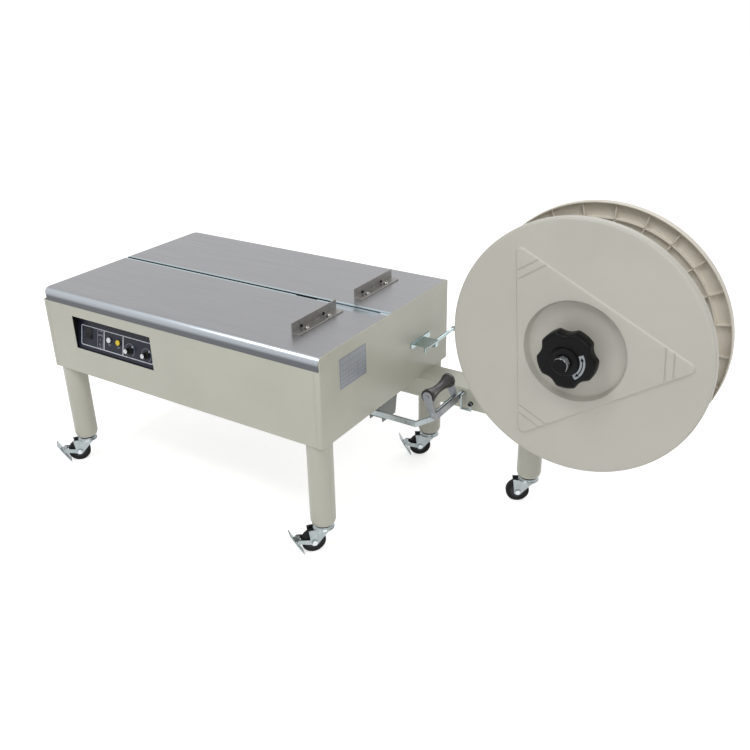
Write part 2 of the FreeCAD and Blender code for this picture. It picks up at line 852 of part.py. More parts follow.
def panel_blank():
    y = panel_centre.y
    rise = (housing_high - housing_low) / 2 - housing_wall
    plate = slab((panel_x0 + housing_wall + sheet_joint, panel_x1 - housing_wall - sheet_joint),
                 (y, y + panel_sheet),
                 (panel_mid_z - rise, panel_mid_z + rise))
    plate = leaned(plate)
    keep = slab((panel_x0, panel_x1), (cover_back, cover_back + housing_depth),
                (housing_low + housing_wall, housing_high - housing_wall))
    return plate.common(keep)


def upright(x, lift, radius, front, back):
    """A round piece square to the upright panel, from front before its face to back behind it."""
    return leaned(rod(V(x, panel_centre.y - front, panel_mid_z + lift), Y, radius, front + back))


def control_panel():
    plate = panel_blank()
    for x in button_xs:
        plate = plate.cut(upright(x, button_lift, button_stem_r + running_fit, overrun, panel_stem))
        bezel = upright(x, button_lift, button_r + collar + free_gap, collar, 0)
        plate = plate.fuse(bezel.cut(upright(x, button_lift, button_r + free_gap, collar + overrun, 0)))
    for x in dial_xs:
        plate = plate.cut(upright(x, -dial_drop, dial_stem_r + running_fit, overrun, panel_stem))
    slot = slab((switch_x - switch_width / 2 - free_gap, switch_x + switch_width / 2 + free_gap),
                (panel_centre.y - collar - overrun, panel_centre.y + panel_stem),
                (panel_mid_z - switch_height / 2 - free_gap, panel_mid_z + switch_height / 2 + free_gap))
    frame = slab((switch_x - switch_width / 2 - collar, switch_x + switch_width / 2 + collar),
                 (panel_centre.y - collar, panel_centre.y),
                 (panel_mid_z - switch_height / 2 - collar, panel_mid_z + switch_height / 2 + collar))
    return plate.fuse(leaned(frame)).cut(leaned(slot)).removeSplitter()


def power_switch():
    """A rocker whose two faces meet in a shallow vee; its ends stay inside a circle about its pivot."""
    reach = switch_height / 2 - free_gap
    low_end = math.asin(switch_rise / reach)
    high_end = math.asin(collar / reach)
    outline = [V(0, -reach * math.sin(low_end), -reach * math.cos(low_end)), V(0, -collar, 0),
               V(0, -reach * math.sin(high_end), reach * math.cos(high_end)),
               V(0, switch_neck / 2, reach * 0.8),
               V(0, switch_neck, 0), V(0, switch_neck / 2, -reach * 0.8)]
    pivot = V(switch_x - switch_width / 2, panel_centre.y, panel_mid_z)
    return leaned(prism([point + pivot for point in outline], X * switch_width))


def push_button(x):
    cap_height = button_rise - free_gap - button_travel
    cap = rod(V(x, panel_centre.y - button_rise, panel_mid_z + button_lift), Y, button_r, cap_height)
    face = circles_at(cap, V(x, panel_centre.y - button_rise, panel_mid_z), Y, button_r)
    cap = cap.makeFillet(collar / 2, face)
    stem = rod(V(x, panel_centre.y - button_travel - free_gap, panel_mid_z + button_lift), Y, button_stem_r,
               panel_stem)
    return leaned(joined([cap, stem]))


def dial(x):
    """A tapered setting knob with a paler end cap."""
    z = panel_mid_z - dial_drop
    y = panel_centre.y - free_gap
    skirt = Part.makeCone(dial_r, dial_cap_r, dial_rise, V(x, y, z), -Y)
    pointer = slab((x - collar / 2, x + collar / 2), (y - dial_rise, y), (z, z + dial_cap_r))
    stem = rod(V(x, y, z), Y, dial_stem_r, panel_stem)
    return leaned(joined([skirt, pointer, stem]))


# Outrigger
beam_top = body_base
beam_low = beam_top - beam_height
beam_back = beam_y + beam_depth


def outrigger_beam():
    outer = slab((beam_x, beam_end_x), (beam_y, beam_back), (beam_low, beam_top))
    outer = outer.makeFillet(beam_edge_r, lines_along(outer, X))
    inner = slab((beam_x - overrun, beam_end_x - beam_wall), (beam_y + beam_wall, beam_back - beam_wall),
                 (beam_low + beam_wall, beam_top - beam_wall))
    return outer.cut(inner)


def reel_post():
    """A formed post: a tapering front face with a round head, side walls behind it and a foot."""
    foot_top = beam_top + post_foot
    head = V(reel_x, beam_y, reel_z)
    foot_half = post_foot_length / 2
    face_depth = post_sheet

    def outline(inset, start, depth):
        low_half = foot_half * 0.8 - inset
        shape = prism([V(reel_x - low_half, start, foot_top + inset),
                       V(reel_x + low_half, start, foot_top + inset),
                       V(reel_x + post_width / 2 - inset, start, reel_z),
                       V(reel_x - post_width / 2 + inset, start, reel_z)], Y * depth)
        return shape.fuse(rod(V(head.x, start, head.z), Y, post_width / 2 - inset, depth)).removeSplitter()

    post = outline(0, beam_y, post_depth).cut(outline(post_sheet, beam_y + face_depth, post_depth))
    foot = slab((reel_x - foot_half, beam_end_x), (beam_y, beam_y + post_depth * 1.5), (beam_top, foot_top))
    return joined([post, foot])


# Reel
reel_back_y = reel_front_y + reel_width
recess_floor = flange_depth - recess_depth
flange_inner_face = recess_floor - flange_sheet


def emboss_outline(inradius, corner_r, lift):
    """The rounded triangle on a flange, with one corner near +X."""
    corner = 2 * inradius - corner_r * 2
    centres = [V(corner * math.cos(turn), corner * math.sin(turn), lift)
               for turn in (math.radians(emboss_turn + third_turn * step) for step in range(3))]
    edges = []
    for index in range(3):
        a = centres[index]
        b = centres[(index + 1) % 3]
        c = centres[(index + 2) % 3]
        out_ab = (b - a).normalize().cross(Z) * corner_r
        out_bc = (c - b).normalize().cross(Z) * corner_r
        edges.append(Part.LineSegment(a + out_ab, b + out_ab).toShape())
        bow = b + (b - V(0, 0, lift)).normalize() * corner_r
        edges.append(Part.Arc(b + out_ab, bow, b + out_bc).toShape())
    return Part.Wire(edges)


def flange(bore):
    """A reel flange in its own frame: axis on Z, outside face at the top, coil side at the bottom."""
    r = flange_r
    wall = flange_sheet
    depth = flange_depth
    ring = r * inner_ring_share
    outline = [(bore, recess_floor), (recess_r - recess_draft, recess_floor), (recess_r, depth),
               (r - rim_edge_r, depth), (r - rim_edge_r * 0.3, depth - rim_edge_r * 0.3),
               (r, depth - rim_edge_r),
               (r, 0), (r - wall, 0), (r - wall, depth - wall), (ring + wall, depth - wall),
               (ring + wall, depth - inner_ring_height), (ring, depth - inner_ring_height),
               (ring, depth - wall),
               (recess_r + wall, depth - wall), (recess_r - recess_draft + wall, flange_inner_face),
               (bore, flange_inner_face)]
    disc = turned(outline, HERE, Z, X)
    inradius = emboss_inradius
    raised = Part.makeLoft([emboss_outline(inradius, emboss_corner_r, depth - wall / 2),
                            emboss_outline(inradius, emboss_corner_r, depth),
                            emboss_outline(inradius - emboss_bevel, emboss_corner_r - emboss_bevel,
                                           depth + emboss)],
                           True, True)
    raised = raised.cut(rod(HERE, Z, recess_r, depth + emboss + overrun))
    for step in range(3):
        for share in groove_share:
            groove = slab((r * share, r * share + groove_width), (-r, r),
                          (depth + emboss - groove_depth, depth + emboss + overrun))
            groove.rotate(HERE, Z, emboss_turn + third_turn * step)
            raised = raised.cut(groove)
    ribs = []
    for index in range(rib_count):
        rib = slab((ring - rib_tail, r - wall / 2), (-rib_sheet / 2, rib_sheet / 2),
                   (depth - inner_ring_height, depth - wall / 2))
        rib.rotate(HERE, Z, (index + rib_phase_share) * 360 / rib_count)
        ribs.append(rib)
    return disc.fuse([raised] + ribs).removeSplitter()


def set_on_reel(shape, outward, y):
    """A piece drawn about Z, set on the reel's axis with its top facing outward, to -Y or +Y."""
    placed = shape.copy()
    placed.rotate(HERE, X, 90 if outward < 0 else -90)
    placed.translate(V(reel_x, y, reel_z))
    return placed


front_flange_y = reel_front_y + emboss + flange_depth
rear_flange_y = reel_back_y - emboss - flange_depth
drum_front_y = front_flange_y - flange_inner_face
drum_rear_y = rear_flange_y + flange_inner_face
knob_back_y = front_flange_y - recess_floor - knob_lift
stud_front_y = knob_back_y - stud_rise


sleeve_end = beam_y - spindle_collar - free_gap


def reel_sleeve():
    """The steel sleeve that turns on the spindle, closed at the front by the threaded stud of the knob."""
    sleeve = rod(V(reel_x, drum_front_y, reel_z), Y, sleeve_r, sleeve_end - drum_front_y)
    stud = rod(V(reel_x, stud_front_y, reel_z), Y, spindle_r, drum_front_y - stud_front_y)
    stud = stud.makeChamfer(stud_edge, circles_at(stud, V(reel_x, stud_front_y, reel_z), Y, spindle_r))
    bore_start = V(reel_x, drum_front_y + drum_wall, reel_z)
    bore = rod(bore_start, Y, spindle_r + running_fit, sleeve_end - bore_start.y + overrun)
    return joined([sleeve, stud]).cut(bore)


def reel_drum():
    """The drum that carries the coil: a rim wall and two spiders with ribs between them."""
    length = drum_rear_y - drum_front_y
    wall = drum_wall
    start = V(reel_x, drum_front_y, reel_z)
    drum = pipe(start, Y, drum_r, drum_r - wall, length)
    pieces = [drum, rod(start, Y, drum_r, wall), rod(start + Y * (length - wall), Y, drum_r, wall),
              rod(start, Y, sleeve_r + wall, length)]
    for index in range(drum_rib_count):
        rib = slab((sleeve_r, drum_r - wall / 2), (-wall / 2, wall / 2), (0, length))
        rib.rotate(HERE, Z, index * 360 / drum_rib_count)
        pieces.append(set_on_reel(rib, 1, drum_front_y))
    return joined(pieces).cut(rod(start - Y * overrun, Y, sleeve_r, length + 2 * overrun))


def reel_spindle():
    tip = drum_front_y + drum_wall + free_gap
    shaft = rod(V(reel_x, tip, reel_z), Y, spindle_r, beam_y - tip)
    neck = rod(V(reel_x, beam_y - spindle_collar, reel_z), Y, spindle_collar_r, spindle_collar)
    return joined([shaft, neck])


def hand_knob():
    """A lobed clamping knob on a round neck, drawn about Z with the neck's foot on Z = 0."""
    body = rod(Z * knob_neck, Z, knob_r, knob_depth)
    front = knob_neck + knob_depth
    for index in range(knob_lobes):
        turn = math.radians(knob_phase + index * 360 / knob_lobes)
        centre = V(math.cos(turn), math.sin(turn), 0) * (knob_r * knob_notch_share)
        body = body.cut(rod(centre, Z, knob_notch_r, front + overrun))
    rim = [edge for edge in body.Edges if abs(edge.BoundBox.ZMin - front) < free_gap]
    body = body.makeFillet(knob_edge_r, rim)
    boss = Part.makeCone(knob_boss_r, knob_boss_r * knob_boss_share, knob_boss, Z * front, Z)
    body = joined([body, boss, rod(HERE, Z, knob_neck_r, knob_neck)])
    bore = rod(-Z * overrun, Z, spindle_r + running_fit, front + knob_boss + 2 * overrun)
    return set_on_reel(body.cut(bore), -1, knob_back_y)


# Strap roller, arm and bar
bar_low = bar_top - bar_height
roller_back_y = roller_front_y + roller_length
arm_front_y = roller_front_y - free_gap - arm_sheet
arm_back_y = roller_back_y + free_gap
lug_ys = (arm_front_y + arm_sheet + lug_inset, arm_back_y - lug_inset - lug_length)


def guide_bar():
    """A bent flat bar on edge, from the tray to the beam, with two lugs and the pin of the roller arm."""
    end = V(bar_turn.x, beam_y, 0)
    base = Z * bar_low
    bar = strip([point + base for point in (bar_start, bar_corner, bar_turn, end)], bar_sheet, bar_height)
    tab = slab((bar_start.x, bar_start.x + bar_tab_length), (bar_start.y - bar_height,
                                                             bar_start.y + bar_sheet / 2),
               (bar_top - bar_sheet / 2, body_base))
    pieces = [bar, tab]
    for y in lug_ys:
        start = V(arm_pivot.x, y, arm_pivot.z)
        pieces.append(slab((bar_turn.x, arm_pivot.x + lug_width / 2), (y, y + lug_length),
                           (bar_top - bar_sheet / 2, arm_pivot.z)))
        pieces.append(rod(start, Y, lug_width / 2, lug_length))
    pieces.append(slab((bar_turn.x - bar_sheet / 2, arm_pivot.x), (lug_ys[0], lug_ys[1] + lug_length),
                       (bar_top - bar_sheet / 2, bar_top)))
    pieces.append(rod(V(arm_pivot.x, arm_front_y, arm_pivot.z), Y, arm_pin_r,
                      arm_back_y + arm_sheet - arm_front_y))
    return joined(pieces)


def roller_arm():
    """A fork of two round-headed cheeks joined by a channel web, with the roller's shaft."""
    pieces = []
    for y in (arm_front_y, arm_back_y):
        foot = V(arm_pivot.x, y, arm_pivot.z)
        head = V(roller_axis.x, y, roller_axis.z)
        cheek = capsule(foot, head, arm_knuckle_r, arm_head_r, Y, arm_sheet)
        heel = slab((arm_pivot.x, arm_pivot.x + web_offset + arm_sheet), (y, y + arm_sheet),
                    (arm_pivot.z - web_drop, arm_pivot.z + web_rise))
        pieces.append(joined([cheek, heel]))
    web = slab((arm_pivot.x + web_offset, arm_pivot.x + web_offset + arm_sheet),
               (arm_front_y, arm_back_y + arm_sheet),
               (arm_pivot.z - web_drop, arm_pivot.z + web_rise))
    shaft = rod(V(roller_axis.x, arm_front_y - arm_sheet, roller_axis.z), Y, roller_shaft_r,
                roller_length + 2 * (free_gap + 2 * arm_sheet))
    arm = joined(pieces + [web, shaft])
    bore = rod(V(arm_pivot.x, arm_front_y - overrun, arm_pivot.z), Y, arm_pin_r + running_fit,
               arm_back_y + arm_sheet - arm_front_y + 2 * overrun)
    return arm.cut(bore)


def guide_roller():
    """A waisted roller, turned from straight lands and an arc."""
    start = V(roller_axis.x, roller_front_y, roller_axis.z)
    bore = roller_shaft_r + running_fit
    corners = [(bore, 0), (roller_r, 0), (roller_r, roller_land)]
    points = [start + X * radius + Y * height for radius, height in corners]
    far_land = start + X * roller_r + Y * (roller_length - roller_land)
    waist = start + X * roller_neck_r + Y * (roller_length / 2)
    far_end = start + X * roller_r + Y * roller_length
    far_bore = start + X * bore + Y * roller_length
    edges = [Part.LineSegment(points[0], points[1]).toShape(),
             Part.LineSegment(points[1], points[2]).toShape(),
             Part.Arc(points[2], waist, far_land).toShape(), Part.LineSegment(far_land, far_end).toShape(),
             Part.LineSegment(far_end, far_bore).toShape(), Part.LineSegment(far_bore, points[0]).toShape()]
    return Part.Face(Part.Wire(edges)).revolve(start, Y, 360)


def strap_hook():
    """A bent wire hook on the beam's face, with a round tip."""
    front = beam_y - hook_reach
    corners = [V(hook_x, beam_y, hook_z), V(hook_x, front, hook_z), V(hook_x, front, hook_z - hook_drop),
               V(hook_x + hook_width, front, hook_z - hook_drop),
               V(hook_x + hook_width, front, hook_z - hook_drop + hook_return)]
    pieces = []
    for a, b in zip(corners, corners[1:]):
        pieces.append(rod(a, b - a, hook_wire_r, (b - a).Length))
    for bend in corners[1:-1]:
        pieces.append(Part.makeSphere(hook_wire_r, bend))
    tip = rod(corners[-1] - Y * (hook_tip / 2), Y, hook_tip_r, hook_tip)
    return joined(pieces + [tip])


# Strap guide on the right end cover
side_rod_x = half_x + side_rod_out
side_arm_y = side_plate_y + side_plate_sheet * 2


def side_guide_bracket():
    """A wall strip with a ledge, a clamp block under it that holds the rod, and a short stop pin."""
    y0 = side_plate_y
    wall = slab((half_x, half_x + side_plate_sheet), (y0, y0 + side_plate_length),
                (side_plate_z, side_plate_z + side_plate_height))
    wall = wall.makeFillet(side_plate_sheet * 2, lines_along(wall, X))
    arm_z = side_rod_z + side_rod_r
    arm = slab((half_x, half_x + side_arm_reach), (side_arm_y, y0 + side_arm_length),
               (arm_z, arm_z + side_plate_sheet))
    outer = lines_along(arm, Z, lambda p: p.x > half_x + side_arm_reach - free_gap)
    arm = arm.makeFillet(side_plate_sheet * 2, outer)
    clamp_half = side_clamp_width / 2
    clamp_y = y0 + side_clamp_start
    clamp = slab((side_rod_x - clamp_half, side_rod_x + clamp_half), (clamp_y, clamp_y + side_clamp_depth),
                 (side_rod_z - clamp_half, arm_z))
    bore = rod(V(side_rod_x, clamp_y - overrun, side_rod_z), Y, side_rod_r + running_fit,
               side_clamp_depth + 2 * overrun)
    pin = rod(V(side_rod_x, y0 + side_pin_start, arm_z - side_pin_length), Z, side_pin_r, side_pin_length)
    return joined([wall, arm, clamp, pin]).cut(bore)


def side_guide_rod():
    start = V(side_rod_x, side_plate_y + side_rod_start, side_rod_z)
    length = side_rod_length
    shaft = rod(start, Y, side_rod_r, length - side_tip)
    tip = Part.makeCone(side_tip_r, side_tip_r * side_tip_share, side_tip, start + Y * (length - side_tip), Y)
    return joined([shaft, tip])


def strap_inlet():
    """A U bracket hung under the tray with two cross rollers that lead the strap in."""
    x0 = inlet_x
    x1 = inlet_x + inlet_width
    y0 = inlet_y
    y1 = inlet_y + inlet_length
    z0 = body_base - inlet_drop
    pieces = []
    for x in (x0 - inlet_sheet, x1):
        pieces.append(prism([V(x, y0, body_base), V(x, y1, body_base), V(x, y1 - inlet_sheet * 4, z0),
                             V(x, y0 + inlet_sheet * 4, z0)], X * inlet_sheet))
    for y in (y0, y1 - inlet_sheet):
        pieces.append(slab((x0 - inlet_sheet, x1 + inlet_sheet), (y, y + inlet_sheet),
                           (body_base - inlet_sheet * 4, body_base)))
    roller_z = body_base - inlet_roller_drop
    for sign in (-1, 1):
        y = (y0 + y1) / 2 + sign * inlet_length * inlet_roller_spread_share
        pieces.append(rod(V(x0, y, roller_z), X, inlet_roller_r, inlet_width))
    return joined(pieces)


# Inner machinery
tray_top = body_base + tray_sheet
cam_axis = V(head_x, strap_gap_y, tray_top + bed_height)


def sealing_head():
    """The cast stand with the column and the three press jaws that stand in the strap gap."""
    half = head_column_x / 2
    y_mid = strap_gap_y
    foot = slab((head_x - shaft_length / 2, head_x + shaft_length / 2),
                (y_mid - head_column_y / 2, y_mid + head_column_y / 2),
                (tray_top, tray_top + head_foot_height))
    shoulder = cover_top - tray_flange
    waist = head_column_y * 0.45
    column = prism([V(head_x - half, y_mid - head_column_y / 2, tray_top + head_foot_height),
                    V(head_x - half, y_mid + head_column_y / 2, tray_top + head_foot_height),
                    V(head_x - half, y_mid + waist, shoulder), V(head_x - half, y_mid - waist, shoulder)],
                   X * head_column_x)
    tunnel = rod(V(head_x - half - overrun, y_mid, tray_top + bed_height), X, cam_r + cam_throw + overrun,
                 head_column_x + 2 * overrun)
    column = column.cut(tunnel)
    top = table_height - jaw_top_drop
    pitch = jaw_width + jaw_gap
    jaws = [slab((head_x + (index - (jaw_count - 1) / 2) * pitch - jaw_width / 2,
                  head_x + (index - (jaw_count - 1) / 2) * pitch + jaw_width / 2),
                 (y_mid - jaw_depth / 2, y_mid + jaw_depth / 2), (shoulder, top - slider_sheet - free_gap))
            for index in range(jaw_count)]
    return joined([foot, column] + jaws + bearing_walls())


def slide_plate():
    """The flat anvil over the jaws, which slides back under the rear plate to free the strap."""
    y0 = gap_front + free_gap
    plate = slab((head_x - slider_length / 2, head_x + slider_length / 2), (y0, y0 + slider_depth),
                 (slider_top - slider_sheet, slider_top))
    rear = y0 + slider_depth
    tail = slab((head_x - slider_rail, head_x + slider_rail), (rear - slider_sheet, rear),
                (cover_top - tray_flange + free_gap, slider_top - slider_sheet))
    return joined([plate, tail])


def drive_motor():
    """A finned induction motor lying along X on two feet."""
    axis_z = tray_top + bed_height
    start = V(motor_low_x, strap_gap_y, axis_z)
    core_r = motor_r - motor_fin
    pieces = [rod(start, X, core_r, motor_length)]
    for share in (0.0, 0.88):
        pieces.append(rod(start + X * (motor_length * share), X, motor_r, motor_length * 0.12))
    for index in range(motor_fin_count):
        fin = slab((0, motor_length), (-rib_sheet / 2, rib_sheet / 2), (core_r - overrun, motor_r))
        fin.rotate(HERE, X, index * 360 / motor_fin_count)
        fin.translate(start)
        pieces.append(fin)
    body = joined(pieces)
    for share in (0.15, 0.7):
        x = start.x + motor_length * share
        body = body.fuse(slab((x, x + motor_length * 0.15), (strap_gap_y - motor_r, strap_gap_y + motor_r),
                              (tray_top, tray_top + motor_foot)))
        body = body.fuse(slab((x, x + motor_length * 0.15), (strap_gap_y - motor_r * 0.5,
                                                             strap_gap_y + motor_r * 0.5),
                              (tray_top, axis_z - core_r * 0.8)))
    return body.removeSplitter()


gearbox_low_x = motor_x + motor_length / 2


def gear_reducer():
    """A cast gear case between the motor and the cam shaft, on its own foot."""
    axis_z = tray_top + bed_height
    half = gearbox_y / 2
    case = slab((gearbox_low_x, gearbox_low_x + gearbox_length * 0.7),
                (strap_gap_y - half, strap_gap_y + half),
                (tray_top, axis_z + half))
    case = case.makeFillet(motor_foot, lines_along(case, X, lambda p: p.z > axis_z))
    cover = rod(V(gearbox_low_x + gearbox_length * 0.7, strap_gap_y, axis_z), X, half * 0.8,
                gearbox_length * 0.1)
    return joined([case, cover])


def cam_shaft():
    """The shaft through the head with its face cams."""
    start = cam_axis - X * (shaft_length / 2)
    pieces = [rod(start, X, shaft_r, shaft_length)]
    pitch = head_column_x / (cam_count + 1)
    for index in range(cam_count):
        x = -head_column_x / 2 + pitch * (index + 1) - cam_width / 2
        turn = math.pi / 2 + math.radians(cam_step * index)
        lobe = cam_axis + V(x, cam_throw * math.cos(turn), cam_throw * math.sin(turn))
        pieces.append(rod(cam_axis + X * x, X, cam_r - cam_throw, cam_width))
        pieces.append(rod(lobe, X, cam_r - cam_throw, cam_width))
    return joined(pieces)


def bearing_walls():
    """Two walls of the cast stand that carry the cam shaft's ends."""
    walls = []
    for side in (-1, 1):
        x = cam_axis.x + side * (shaft_length / 2 - cam_width) - cam_width / 2
        wall = slab((x, x + cam_width), (cam_axis.y - cam_r, cam_axis.y + cam_r), (tray_top, cam_axis.z))
        wall = joined([wall, rod(V(x, cam_axis.y, cam_axis.z), X, cam_r, cam_width)])
        walls.append(wall.cut(rod(V(x - overrun, cam_axis.y, cam_axis.z), X, shaft_r + running_fit,
                                  cam_width + 2 * overrun)))
    return walls


def transformer():
    size = transformer_size
    x0 = transformer_x - size / 2
    y0 = transformer_y - size / 2
    core = slab((x0, x0 + size), (y0 + size * 0.25, y0 + size * 0.75), (tray_top, tray_top + size))
    coil_half = size * transformer_coil_share / 2
    coil = slab((transformer_x - coil_half, transformer_x + coil_half), (y0, y0 + size),
                (tray_top + size * 0.15, tray_top + size * 0.85))
    coil = coil.makeFillet(motor_foot, lines_along(coil, Z))
    return joined([core, coil])


def control_box():
    x0 = control_box_x - control_box_length / 2
    y0 = control_box_y - control_box_depth / 2
    box = slab((x0, x0 + control_box_length), (y0, y0 + control_box_depth),
               (tray_top, tray_top + control_box_height))
    lid = slab((x0 - cover_sheet, x0 + control_box_length + cover_sheet),
               (y0 - cover_sheet, y0 + control_box_depth + cover_sheet),
               (tray_top + control_box_height - motor_foot, tray_top + control_box_height + cover_sheet))
    inside = slab((x0 + cover_sheet, x0 + control_box_length - cover_sheet),
                  (y0 + cover_sheet, y0 + control_box_depth - cover_sheet),
                  (tray_top - overrun, tray_top + control_box_height - cover_sheet))
    return joined([box, lid]).cut(inside)


def centre_posts():
    """T posts welded to the tray, which carry the plates' inner lips."""
    posts = []
    middle_x = motor_low_x - motor_post_gap
    for x in (middle_x - (middle_x + half_x) * left_post_share, middle_x, head_x + head_post_gap):
        half = centre_post_width / 2
        span = centre_post_span / 2
        top = table_height - plate_lip
        web = slab((x - half, x + half), (strap_gap_y - half, strap_gap_y + half), (tray_top, top))
        core = slab((x - half + tray_sheet, x + half + overrun),
                    (strap_gap_y - half + tray_sheet, strap_gap_y + half - tray_sheet),
                    (tray_top + tray_sheet, top - centre_post_top))
        cap = slab((x - half, x + half), (strap_gap_y - span, strap_gap_y + span),
                   (top - centre_post_top, top))
        foot = slab((x - half * 1.6, x + half * 1.6), (strap_gap_y - half * 1.6, strap_gap_y + half * 1.6),
                    (tray_top, tray_top + tray_sheet))
        posts.append(joined([web.cut(core), cap, foot]))
    return posts


nodes["base_tray"] = joined([base_tray()] + centre_posts())
nodes["front_table_plate"] = front_table_plate()
nodes["rear_table_plate"] = rear_table_plate()
nodes["strap_ramp"] = strap_ramp()
nodes["front_box_guide"] = guide_bracket(-1)
nodes["rear_box_guide"] = guide_bracket(1)
nodes["left_end_cover"] = leg_relief(end_cover(-1, cover_top), leg_spots)
nodes["right_end_cover"] = right_end_cover()
nodes["front_cover"] = front_cover()
nodes["rear_cover"] = rear_cover()
nodes["cable_gland"] = cable_gland()
for leg_name, spot_x, spot_y in leg_places:
    nodes[leg_name] = leg(spot_x, spot_y, plate_under, leg_cap_height)
nodes["outrigger_leg"] = leg(outrigger_leg_x, outrigger_leg_y, beam_low, 0)
nodes["caster_stems"] = Part.makeCompound([caster_stem(x, y) for name, x, y, heading in caster_spots])
for spot_name, spot_x, spot_y, spot_heading in caster_spots:
    with_brake = spot_name != "outrigger"
    nodes[spot_name + "_fork"] = placed_caster(caster_fork(with_brake), spot_x, spot_y, spot_heading)
    nodes[spot_name + "_wheel"] = placed_caster(caster_wheel(), spot_x, spot_y, spot_heading)
    if with_brake:
        nodes[spot_name + "_brake"] = placed_caster(brake_lever(), spot_x, spot_y, spot_heading)
nodes["control_housing"] = control_housing()
nodes["control_panel"] = control_panel()
nodes["power_switch"] = power_switch()
nodes["white_button"] = push_button(button_xs[0])
nodes["yellow_button"] = push_button(button_xs[1])
nodes["left_dial"] = dial(dial_xs[0])
nodes["right_dial"] = dial(dial_xs[1])
nodes["outrigger_beam"] = outrigger_beam()
nodes["reel_post"] = reel_post()
nodes["reel_spindle"] = reel_spindle()
nodes["reel_sleeve"] = reel_sleeve()
nodes["reel_drum"] = reel_drum()
nodes["front_flange"] = set_on_reel(flange(spindle_r + running_fit), -1, front_flange_y)
nodes["rear_flange"] = set_on_reel(flange(sleeve_r + running_fit), 1, rear_flange_y)
nodes["hand_knob"] = hand_knob()
nodes["guide_bar"] = guide_bar()
nodes["roller_arm"] = roller_arm()
nodes["guide_roller"] = guide_roller()
nodes["strap_hook"] = strap_hook()
nodes["side_guide_bracket"] = side_guide_bracket()
nodes["side_guide_rod"] = side_guide_rod()
nodes["strap_inlet"] = strap_inlet()
nodes["sealing_head"] = sealing_head()
nodes["slide_plate"] = slide_plate()
nodes["drive_motor"] = drive_motor()
nodes["gear_reducer"] = gear_reducer()
nodes["cam_shaft"] = cam_shaft()
nodes["transformer"] = transformer()
nodes["control_box"] = control_box()

bounds = Part.makeCompound(list(nodes.values())).BoundBox
origin = V(bounds.Center.x, bounds.Center.y, bounds.ZMin)

os.makedirs("parts", exist_ok=True)
for name, shape in nodes.items():
    shape.translate(-origin)
    shape.exportStep("parts/" + name + ".step")
    print(name, "valid" if shape.isValid() else "INVALID", len(shape.Solids), round(shape.Volume / 1000, 1))
print("nodes", len(nodes), "origin", origin, "size", bounds.XLength, bounds.YLength, bounds.ZLength)
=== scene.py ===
import math

import bmesh
import bpy
from mathutils import Matrix, Vector


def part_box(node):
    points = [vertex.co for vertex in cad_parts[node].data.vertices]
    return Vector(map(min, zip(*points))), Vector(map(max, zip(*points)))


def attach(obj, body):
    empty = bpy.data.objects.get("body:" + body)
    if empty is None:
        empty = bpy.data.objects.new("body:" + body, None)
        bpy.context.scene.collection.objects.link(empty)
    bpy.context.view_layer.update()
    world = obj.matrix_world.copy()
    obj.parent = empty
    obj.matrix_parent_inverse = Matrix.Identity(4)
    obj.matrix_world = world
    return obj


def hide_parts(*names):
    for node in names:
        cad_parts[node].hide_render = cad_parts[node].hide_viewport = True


# The looks of a low strapping table and its strap reel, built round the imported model.
# Sizes below are millimetres in the table's own frame: X along the table, Y to the back, Z up from the
# floor, with the table centred on X = 0, Y = 0. at() turns such a place into the scene's metres.
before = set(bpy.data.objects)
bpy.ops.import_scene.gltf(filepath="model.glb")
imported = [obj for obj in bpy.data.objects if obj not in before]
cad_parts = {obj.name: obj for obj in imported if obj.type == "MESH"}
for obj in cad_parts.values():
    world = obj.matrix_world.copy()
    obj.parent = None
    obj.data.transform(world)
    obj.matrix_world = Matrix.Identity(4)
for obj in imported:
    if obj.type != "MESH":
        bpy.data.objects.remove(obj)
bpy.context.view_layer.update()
scene = bpy.context.scene

MM = 0.001
TURN = 2 * math.pi
left_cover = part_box("left_end_cover")
right_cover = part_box("right_end_cover")
table_middle = Vector(((left_cover[0].x + right_cover[1].x) / 2, (left_cover[0].y + left_cover[1].y) / 2, 0))


def at(x, y, z):
    """A place in the table's frame, in the scene's metres."""
    return table_middle + Vector((x, y, z)) * MM


def in_table(point):
    """A place in the scene, in the table's frame and millimetres."""
    return (point - table_middle) / MM


half_x = (right_cover[1].x - left_cover[0].x) / MM / 2
half_y = (left_cover[1].y - left_cover[0].y) / MM / 2
table_height = in_table(right_cover[1]).z

# The strap gap: painted shade darkens its walls, and a pale band on the plates beside it is a painted
# highlight of their bends, wider at the front
STRAP_GAP_Y = 2.0
GAP_SHADE_REACH = (7.2, 7.8)
GAP_SHADE_DEPTHS = (2.6, 1.8)
GAP_HIGHLIGHT_Y = -0.5
GAP_HIGHLIGHT_REACH = (10.6, 11.4)
GAP_HIGHLIGHT_COLOUR = (0.47, 0.56, 0.60)

# Depths under the table's top between which the plates' bend gets a painted highlight and their lip a painted
# dark reflection
BEND_HIGHLIGHT_DEPTHS = (0.3, 3.0)
LIP_SHADE_DEPTHS = (8.0, 21.0)


def under_top(depths):
    """The heights of places that lie some millimetres under the table's top, in metres."""
    return [(table_height - depth) * MM for depth in depths]


# Material nodes
def set_inputs(node, values):
    """Constants on a node's own sockets."""
    for name, value in values.items():
        node.inputs[name].default_value = value
    return node


def new_node(tree, kind, values=None):
    """A new shader node with some of its sockets set."""
    return set_inputs(tree.nodes.new("ShaderNode" + kind), values or {})


def calculated(tree, operation, first, second=0.0):
    """A math node over a socket and another socket or a number."""
    node = new_node(tree, "Math")
    node.operation = operation
    tree.links.new(first, node.inputs[0])
    if isinstance(second, float):
        node.inputs[1].default_value = second
    else:
        tree.links.new(second, node.inputs[1])
    return node.outputs[0]


LEAST_ROUGHNESS = 0.02


